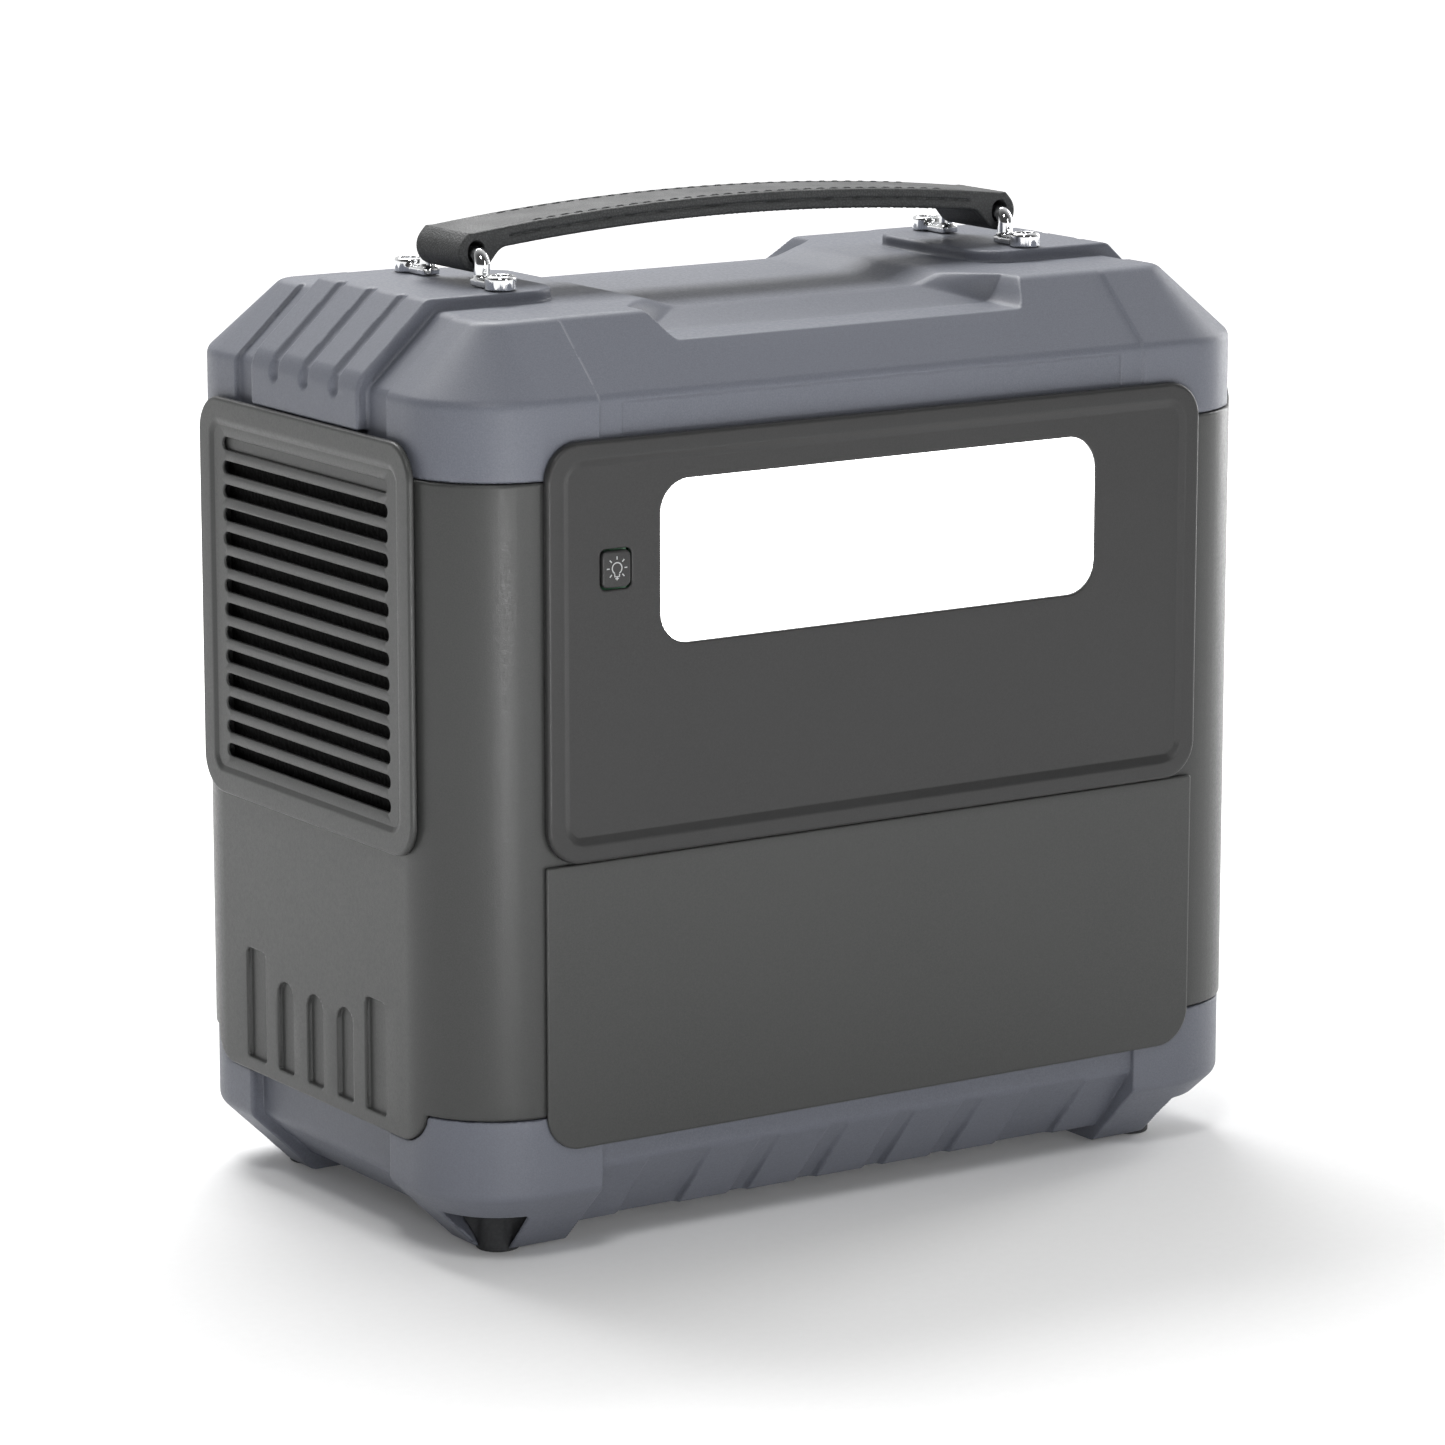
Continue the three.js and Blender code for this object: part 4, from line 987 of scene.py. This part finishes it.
# %% Sockets and buttons
INSERT_BACK, INSERT_FACE, RING_FACE = 84.0, 92.9, 93.4
HOLE_END = 86
BLADE_X = 6.3
USB_MIDDLE_Z, WIDE_PORTS, SMALL_PORTS = 183, (-25, -8), (10, 26)
SOCKET_STEP = 0.45


def outlet_field(at_x, at_z):
    def field(x, y, z):
        dx, dz = x - at_x, z - at_z
        body = meet(patch(dx, dz, (-16, 16), (-23, 23), 4), between(y, INSERT_BACK, INSERT_FACE), 0.5)
        dish = np.maximum(patch(dx, dz, (-12.5, 12.5), (-17, 17), 10), INSERT_FACE - 0.8 - y)
        tall_slot = patch(dx + BLADE_X, dz, (-1, 1), (-0.5, 8.5), 0.3)
        slots = np.minimum(tall_slot, patch(dx - BLADE_X, dz, (-1, 1), (0.25, 7.75), 0.3))
        ground = np.hypot(dx, dz + 7.5) - 2.4
        holes = np.maximum(np.minimum(slots, ground), HOLE_END - y)
        return meet(body, -np.minimum(dish, holes), 0.25)
    return field


def usb_field(x, y, z):
    dz = z - USB_MIDDLE_Z
    body = meet(patch(x, z, USB_X, USB_Z, 3), between(y, INSERT_BACK, INSERT_FACE), 0.5)
    wide = np.minimum(*(patch(x - at, dz, (-6.2, 6.2), (-2.5, 2.5), 0.4) for at in WIDE_PORTS))
    small = np.minimum(*(patch(x - at, dz, (-4.3, 4.3), (-1.5, 1.5), 1.4) for at in SMALL_PORTS))
    body = meet(body, -np.maximum(np.minimum(wide, small), HOLE_END - y), 0.2)
    tongue_x = np.minimum(*(np.abs(x - at) for at in WIDE_PORTS)) - 5.5
    tongue = np.maximum(np.maximum(tongue_x, between(dz, 0.2, 2)), between(y, 85, 92))
    pin_x = np.minimum(*(np.abs(x - at) for at in SMALL_PORTS)) - 3.1
    pin = np.maximum(np.maximum(pin_x, np.abs(dz) - 0.4), between(y, 85, 91.5))
    return np.minimum(body, np.minimum(tongue, pin))


def car_socket_field(x, y, z):
    at_x, at_z, radius = ROUND_PARTS["car_socket"]
    away = np.hypot(x - at_x, z - at_z)
    flange = meet(away - radius, between(y, 90, RING_FACE), 0.7)
    sleeve = np.maximum(away - 13, between(y, 55, 91))
    bore = meet(away - 10.6, 57 - y, 0.4)
    contact = meet(away - 3, y - 62, 1.0)
    body = meet(np.minimum(flange, sleeve), -bore, 0.5)
    return np.minimum(body, np.maximum(contact, 55 - y))


def dc_input_field(x, y, z):
    at_x, at_z, radius = ROUND_PARTS["dc_input"]
    away = np.hypot(x - at_x, z - at_z)
    body = meet(away - radius, between(y, 78, RING_FACE), 0.6)
    body = meet(body, -np.maximum(away - 3.9, 80 - y), 0.4)
    return np.minimum(body, meet(away - 0.9, between(y, 79, 91), 0.3))


def round_button_field(name):
    at_x, at_z, radius = ROUND_PARTS[name]

    def field(x, y, z):
        away = np.hypot(x - at_x, z - at_z)
        face = y - 93.2 + 0.008 * away ** 2
        return np.minimum(meet(meet(away - radius + 0.1, face, 0.6), 90 - y, 0.2),
                          np.maximum(away - 2, between(y, 86, 91)))
    return field


for index, (at_x, at_z) in enumerate(OUTLETS, 1):
    outlet = skin(f"ac_outlet_{index}_face", outlet_field(at_x, at_z), (at_x - 18, 83, at_z - 25),
                  (at_x + 18, 94, at_z + 25), SOCKET_STEP, black_plastic)
    stands_for(outlet, "case", "black_plastic", f"ac_outlet_{index}")
for name, field, low, high in (
        ("usb_block", usb_field, (-40, 83, 170), (40, 94, 196)),
        ("car_socket", car_socket_field, (-99, 54, 204), (-65, 94.5, 238)),
        ("dc_input", dc_input_field, (-107, 77, 163), (-89, 94.5, 181))):
    socket = skin(f"{name}_face", field, low, high, SOCKET_STEP, black_plastic)
    stands_for(socket, "case", "black_plastic", name)
for name in ("main_button", "ac_button", "dc_button"):
    at_x, at_z, radius = ROUND_PARTS[name]
    cap = skin(f"{name}_cap", round_button_field(name), (at_x - radius - 1, 85, at_z - radius - 1),
               (at_x + radius + 1, 94.5, at_z + radius + 1), SOCKET_STEP * 0.8, panel_plastic)
    stands_for(cap, f"{name}_body", "black_plastic", name)

# %% Symbols and display
MARK_FACE = 93.22


def mark(name, lines, width, body):
    piece = from_parts(name, [stroke(line, width, MARK_FACE, 1) for line in lines], pale_ink)
    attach(piece, body)
    return piece


def wave(centre, half, height):
    turns = np.linspace(-math.pi, math.pi, 24)
    return [(centre[0] + half * t / math.pi, centre[1] + height * math.sin(t)) for t in turns]


main_x, main_z, _ = ROUND_PARTS["main_button"]
ac_x, ac_z, _ = ROUND_PARTS["ac_button"]
dc_x, dc_z, _ = ROUND_PARTS["dc_button"]
power_ring = arc((main_x, main_z), 2.6, 125, 415, 32)
mark("power_mark", [power_ring, [(main_x, main_z + 0.6), (main_x, main_z + 3.4)]], 0.5, "main_button_body")
mark("wave_mark", [wave((ac_x, ac_z), 2.8, 1.1)], 0.45, "ac_button_body")
level_line = [(dc_x - 2.6, dc_z + 0.8), (dc_x + 2.6, dc_z + 0.8)]
dashes = [[(dc_x + a, dc_z - 0.8), (dc_x + a + 1.2, dc_z - 0.8)] for a in (-2.6, -0.6, 1.4)]
mark("level_mark", [level_line, *dashes], 0.45, "dc_button_body")
DISPLAY_FACE = 92.88
cell = [(-24, 214), (8, 214), (8, 219.5), (9.6, 219.5), (9.6, 224.5), (8, 224.5), (8, 230), (-24, 230)]
outline = from_parts("cell_outline", [stroke(cell, 0.7, DISPLAY_FACE, 1, closed=True)], display_light)
bar = from_parts("cell_bar", [box((-2.1, 2.1), (DISPLAY_FACE - 0.1, DISPLAY_FACE + 0.02), (-6, 6))],
                 display_light)


def bar_row_group():
    """Copies a bar in a level row."""
    group = Group("bar_row", {"Count": "NodeSocketInt", "Start": "NodeSocketVector",
                              "Pitch": "NodeSocketFloat", "Material": "NodeSocketMaterial"})
    given = group.input
    offset = group.add("ShaderNodeCombineXYZ", {"X": given["Pitch"]})
    row = group.add("GeometryNodeMeshLine", {"Count": given["Count"], "Start Location": given["Start"],
                                             "Offset": offset})
    group.close(group.add("GeometryNodeInstanceOnPoints", {"Points": row, "Instance": given["Geometry"]}))
    return group


bars = bar_row_group().run("cell_bars", bar, Count=5, Start=(-20.2 * MM, 0, 222 * MM), Pitch=6.1 * MM,
                           Material=display_light)
discard(bar)
power_arrow = from_parts("flow_mark", [stroke(line, 0.7, DISPLAY_FACE, 1) for line in
                                       ([(15, 222), (26, 222)], [(22.5, 225.5), (26.2, 222), (22.5, 218.5)],
                                        [(-24, 238), (26, 238)])], display_light)
for piece in (outline, bars, power_arrow):
    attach(piece, "case")
print("symbols done")

# %% [markdown]
# ## Grilles
# The plate of a grille is made like the other plates. A node group then copies one slot cutter in a row and
# takes the whole row out of the plate. The cutter flares at its mouth, which softens every slot's edge.

# %% Grilles
GRILLE_Y, GRILLE_Z = 67.0, (130.0, 259.9)
GRILLE_BACK, GRILLE_FRONT = 156.3, 158.4
GRILLE_FRAME, FIELD_DEPTH = 9, 0.9
SLOT_COUNT, SLOT_PITCH, SLOT_TOP, SLOT_HALF, SLOT_H = 14, 7.715, 245.2, 52.5, 4.2


def grille_field(x, y, z):
    out = np.abs(x)
    rim = meet(patch(y, z, (-GRILLE_Y, GRILLE_Y), GRILLE_Z, PANEL_R), out - GRILLE_FRONT, 1.2)
    half, low, high = GRILLE_Y - GRILLE_FRAME, GRILLE_Z[0] + GRILLE_FRAME, GRILLE_Z[1] - GRILLE_FRAME
    field = patch(y, z, (-half, half), (low, high), 4)
    bevel = (field - (out - GRILLE_FRONT + FIELD_DEPTH) * 2) / math.sqrt(5)
    plate = meet(rim, -np.maximum(bevel, GRILLE_FRONT - FIELD_DEPTH - out), 0.25)
    return np.maximum(plate, GRILLE_BACK - out)


def slot_cutter(side):
    """A stadium-shaped bar across the plate, centred on the origin's height."""
    verts, faces, steps = [], [], 12
    stations = [(155.0, 0.0), (157.05, 0.0), (157.3, 0.12), (157.5, 0.35), (159.5, 2.35)]
    for out, grow in stations:
        radius = SLOT_H / 2 + grow
        for end in (1, -1):
            for k in range(steps + 1):
                angle = -math.pi / 2 + math.pi * k / steps + (0 if end > 0 else math.pi)
                verts.append((side * out, end * (SLOT_HALF - SLOT_H / 2) + radius * math.cos(angle),
                              radius * math.sin(angle)))
    ring = 2 * (steps + 1)
    for row in range(len(stations) - 1):
        for k in range(ring):
            a, b = row * ring + k, row * ring + (k + 1) % ring
            faces.append((a, b, b + ring, a + ring))
    faces += [tuple(range(ring)), tuple((len(stations) - 1) * ring + k for k in range(ring))]
    return from_parts("slot_cutter", [(verts, faces)], case_plastic)


def slot_row_group():
    """Takes a row of copies of a cutter out of a plate."""
    group = Group("slot_row", {"Cutter": "NodeSocketObject", "Count": "NodeSocketInt",
                               "Top": "NodeSocketFloat", "Pitch": "NodeSocketFloat",
                               "Material": "NodeSocketMaterial"})
    given = group.input
    start = group.add("ShaderNodeCombineXYZ", {"Z": given["Top"]})
    down = group.add("ShaderNodeMath", {0: given["Pitch"], 1: -1.0}, operation="MULTIPLY")
    offset = group.add("ShaderNodeCombineXYZ", {"Z": down})
    row = group.add("GeometryNodeMeshLine", {"Count": given["Count"], "Start Location": start,
                                             "Offset": offset})
    cutter = group.tree.nodes.new("GeometryNodeObjectInfo")
    group.tree.links.new(given["Cutter"], cutter.inputs["Object"])
    bars = group.add("GeometryNodeInstanceOnPoints", {"Points": row, "Instance": cutter.outputs["Geometry"]})
    real = group.add("GeometryNodeRealizeInstances", {0: bars})
    boolean = group.tree.nodes.new("GeometryNodeMeshBoolean")
    boolean.operation = "DIFFERENCE"
    boolean.solver = "EXACT"
    group.tree.links.new(given["Geometry"], boolean.inputs["Mesh 1"])
    group.tree.links.new(real, boolean.inputs["Mesh 2"])
    group.close(boolean.outputs["Mesh"])
    return group


slot_row = slot_row_group()
for side, word in ((-1, "left"), (1, "right")):
    near, far = sorted((side * 154.5, side * 160))
    blank = skin(f"{word}_blank", grille_field, (near, -69, 128), (far, 69, 262), PLATE_STEP, case_plastic)
    blank.modifiers.clear()
    cutter = slot_cutter(side)
    grille = slot_row.run(f"{word}_grille_plate", blank, Cutter=cutter, Count=SLOT_COUNT, Top=SLOT_TOP * MM,
                          Pitch=SLOT_PITCH * MM, Material=case_plastic)
    discard(blank, cutter)
    even = grille.modifiers.new("even_shading", "WEIGHTED_NORMAL")
    even.keep_sharp = False
    stands_for(grille, "case", "case_plastic", f"{word}_grille")
    print(grille.name, len(grille.data.polygons), "faces")

# %% [markdown]
# ## Handle
# Two layers of leather form the strap. At each end the upper layer wraps round the bracket's rod and comes
# back as the lower one, so a thin seam shows along both edges.

# %% Strap
POST_X, ROD_Z, LOOP_Z, LOOP_R = 101.5, 308.9, 309.5, 6.3
STRAP_TOP, STRAP_THICK, STRAP_HALF = 321.8, 6.4, 13.8
STRAP_LOW = LOOP_Z + LOOP_R
SEW_Y = 11.0
LAYER_OFF, LAYER_HALF = 1.62, 1.58
ROD_HOLE_R, ROD_PLAY = 3.0, 1.3
STRAP_STEP = 0.5


def strap_line(x):
    """Height of the strap's upper face."""
    return STRAP_LOW + (STRAP_TOP - STRAP_LOW) * (1 - (x / POST_X) ** 2)


def strap_field(x, y, z):
    ax, ay = np.abs(x), np.abs(y)
    slope = 2 * (STRAP_TOP - STRAP_LOW) * ax / POST_X ** 2
    from_middle = (z - strap_line(x) + STRAP_THICK / 2) / np.hypot(1, slope)
    seam_dip = 0.22 * np.exp(-((ay - SEW_Y) / 0.7) ** 2)
    band = np.maximum(np.abs(from_middle) - STRAP_THICK / 2 + seam_dip, ax - POST_X)
    loop = np.hypot(ax - POST_X, z - LOOP_Z) - LOOP_R
    profile = np.maximum(fuse(band, loop, 5), z - strap_line(np.minimum(ax, POST_X)))
    width = ay - STRAP_HALF
    upper = meet(np.abs(from_middle - LAYER_OFF) - LAYER_HALF + seam_dip, width, 1.0)
    lower = meet(np.abs(from_middle + LAYER_OFF) - LAYER_HALF + seam_dip, width, 1.0)
    layers = np.maximum(np.minimum(upper, lower), ax - POST_X)
    ends = np.maximum(meet(profile, width, 1.0), POST_X - 12 - ax)
    core = np.maximum(profile, width + 0.9)
    body = np.minimum(np.minimum(layers, ends), core)
    rod_z = np.clip(z, ROD_Z, ROD_Z + ROD_PLAY)
    hole = np.hypot(ax - POST_X, z - rod_z) - ROD_HOLE_R
    return meet(body, -hole, 0.4)


strap = skin("strap_leather", strap_field, (-110, -15, 301), (110, 15, 324), STRAP_STEP, leather)
stands_for(strap, "strap", "leather", "handle_strap")

# %% Stitches
def sewing_group():
    """Copies a stitch along a row that follows the strap's arch."""
    group = Group("sewing", {"Count": "NodeSocketInt", "Start": "NodeSocketFloat", "Pitch": "NodeSocketFloat",
                             "Side": "NodeSocketFloat", "Crown": "NodeSocketFloat", "Sag": "NodeSocketFloat",
                             "Material": "NodeSocketMaterial"})
    given = group.input

    def calc(a, b, operation):
        return group.add("ShaderNodeMath", {0: a, 1: b}, operation=operation)

    start = group.add("ShaderNodeCombineXYZ", {"X": given["Start"], "Y": given["Side"], "Z": given["Crown"]})
    offset = group.add("ShaderNodeCombineXYZ", {"X": given["Pitch"]})
    row = group.add("GeometryNodeMeshLine", {"Count": given["Count"], "Start Location": start,
                                             "Offset": offset})
    x = group.add("ShaderNodeSeparateXYZ", {0: group.add("GeometryNodeInputPosition")})
    drop = calc(calc(calc(x, x, "MULTIPLY"), given["Sag"], "MULTIPLY"), -1.0, "MULTIPLY")
    arched = group.add("GeometryNodeSetPosition", {"Geometry": row,
                                                    "Offset": group.add("ShaderNodeCombineXYZ", {"Z": drop})})
    slope = calc(calc(calc(x, given["Sag"], "MULTIPLY"), 2.0, "MULTIPLY"), 0.0, "ARCTAN2")
    slope.node.inputs[1].default_value = 1.0
    turn = group.add("ShaderNodeCombineXYZ", {"Y": slope})
    sewn = group.add("GeometryNodeInstanceOnPoints", {"Points": arched, "Instance": given["Geometry"],
                                                       "Rotation": turn})
    group.close(sewn)
    return group


def stitch_shape():
    """One stitch: a short thread that is thickest in its middle and dips at both ends."""
    verts, faces, sides = [], [], 8
    half = [(0.8, 0.48, 0.02), (1.5, 0.40, -0.12), (1.8, 0.15, -0.35)]
    stations = [(-x, radius, lift) for x, radius, lift in reversed(half)] + half
    for x, radius, lift in stations:
        for k in range(sides):
            angle = 2 * math.pi * k / sides
            verts.append((x, radius * math.cos(angle), lift + radius * math.sin(angle) * 0.8))
    for row in range(len(stations) - 1):
        for k in range(sides):
            a, b = row * sides + k, row * sides + (k + 1) % sides
            faces.append((a, b, b + sides, a + sides))
    faces += [tuple(range(sides)), tuple((len(stations) - 1) * sides + k for k in range(sides))]
    return from_parts("stitch", [(verts, faces)], thread)


sewing = sewing_group()
stitch = stitch_shape()
STITCH_COUNT, STITCH_START, STITCH_PITCH, STITCH_SINK = 31, -77.5, 5.17, 0.1
for row_name, side_y, level in (("front_upper", -SEW_Y, -STITCH_SINK),
                                ("back_upper", SEW_Y, -STITCH_SINK),
                                ("front_lower", -SEW_Y, STITCH_SINK - STRAP_THICK),
                                ("back_lower", SEW_Y, STITCH_SINK - STRAP_THICK)):
    stitches = sewing.run(f"{row_name}_stitches", stitch, Count=STITCH_COUNT, Start=STITCH_START * MM,
                          Pitch=STITCH_PITCH * MM,
                          Side=side_y * MM, Crown=(STRAP_TOP + level) * MM,
                          Sag=(STRAP_TOP - STRAP_LOW) / POST_X ** 2 / MM, Material=thread)
    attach(stitches, "strap")
discard(stitch)
print("stitches per row:", STITCH_COUNT)

# %% [markdown]
# ## Handle brackets
# Each bracket is a bent chrome rod between two small screw plates.

# %% Brackets
POST_Y, ROD_R, ROD_BEND, EYE_Y, EYE_R = 16.8, 2.6, 3.0, 28.0, 5.0
EYE_H, ARM_H, ARM_HALF = 4.4, 2.4, 3
HEAD_R, SHANK_R, HEAD_SEAT = 3.4, 2.1, 1.6
BASE_Z = PAD_TOP + 0.3


def rod_distance(across, up):
    """Distance to a rod that climbs, bends through a quarter circle and runs level."""
    corner_y, corner_z = POST_Y - ROD_BEND, ROD_Z - ROD_BEND
    level = np.where(across < corner_y, np.abs(up - ROD_Z), 1e3)
    post = np.where(up < corner_z, np.abs(across - POST_Y), 1e3)
    round_part = np.abs(np.hypot(across - corner_y, up - corner_z) - ROD_BEND)
    quarter = np.where((across >= corner_y) & (up >= corner_z), round_part, 1e3)
    return np.minimum(np.minimum(level, post), quarter)


def bracket_field(x, y, z):
    dx, ay = np.abs(x) - POST_X, np.abs(y)
    rod = np.hypot(dx, rod_distance(ay, z)) - ROD_R
    eye = meet(np.hypot(dx, ay - EYE_Y) - EYE_R, z - BASE_Z - EYE_H, 0.9)
    arm = meet(np.maximum(np.abs(dx) - ARM_HALF, between(ay, POST_Y - 2.5, EYE_Y)), z - BASE_Z - ARM_H, 0.7)
    body = np.maximum(fuse(fuse(rod, eye, 0.8), arm, 1.0), BASE_Z - z)
    bore = np.hypot(dx, ay - EYE_Y) - np.where(z > BASE_Z + HEAD_SEAT, HEAD_R, SHANK_R)
    return meet(body, -bore, 0.25)


for side, word in ((-1, "left"), (1, "right")):
    near, far = sorted((side * 95.5, side * 107.5))
    bracket = skin(f"{word}_bracket", bracket_field, (near, -34, 298.5), (far, 34, 313), 0.4, chrome)
    stands_for(bracket, "case", "chrome", f"{word}_handle_bracket")

# %% [markdown]
# ## Finishes of the other CAD pieces
# A CAD piece whose shape is right stays. It gets a finish, and a narrow bevel that catches light.

# %% Finish the CAD nodes
FINISH = {"slate_plastic": slate_plastic, "case_plastic": case_plastic, "panel_plastic": panel_plastic,
          "diffuser": lens_glow, "black_plastic": black_plastic, "glass": display_glass,
          "circuit_board": board_green, "chrome": chrome, "steel": zinc_steel, "rubber": rubber,
          "leather": leather, "filter_foam": foam, "battery_cans": blue_wrap, "aluminium": plain_aluminium}


def finish_cad_nodes():
    slots = {part["node"]: part["material_slot"] for part in frame["record"]["subparts"]}
    for name, node in frame["nodes"].items():
        node.data.materials.clear()
        node.data.materials.append(FINISH[slots[name]])
        edge = node.modifiers.new("soft_edge", "BEVEL")
        edge.width = 0.2 * MM
        edge.segments = 2
        edge.limit_method = "ANGLE"


finish_cad_nodes()
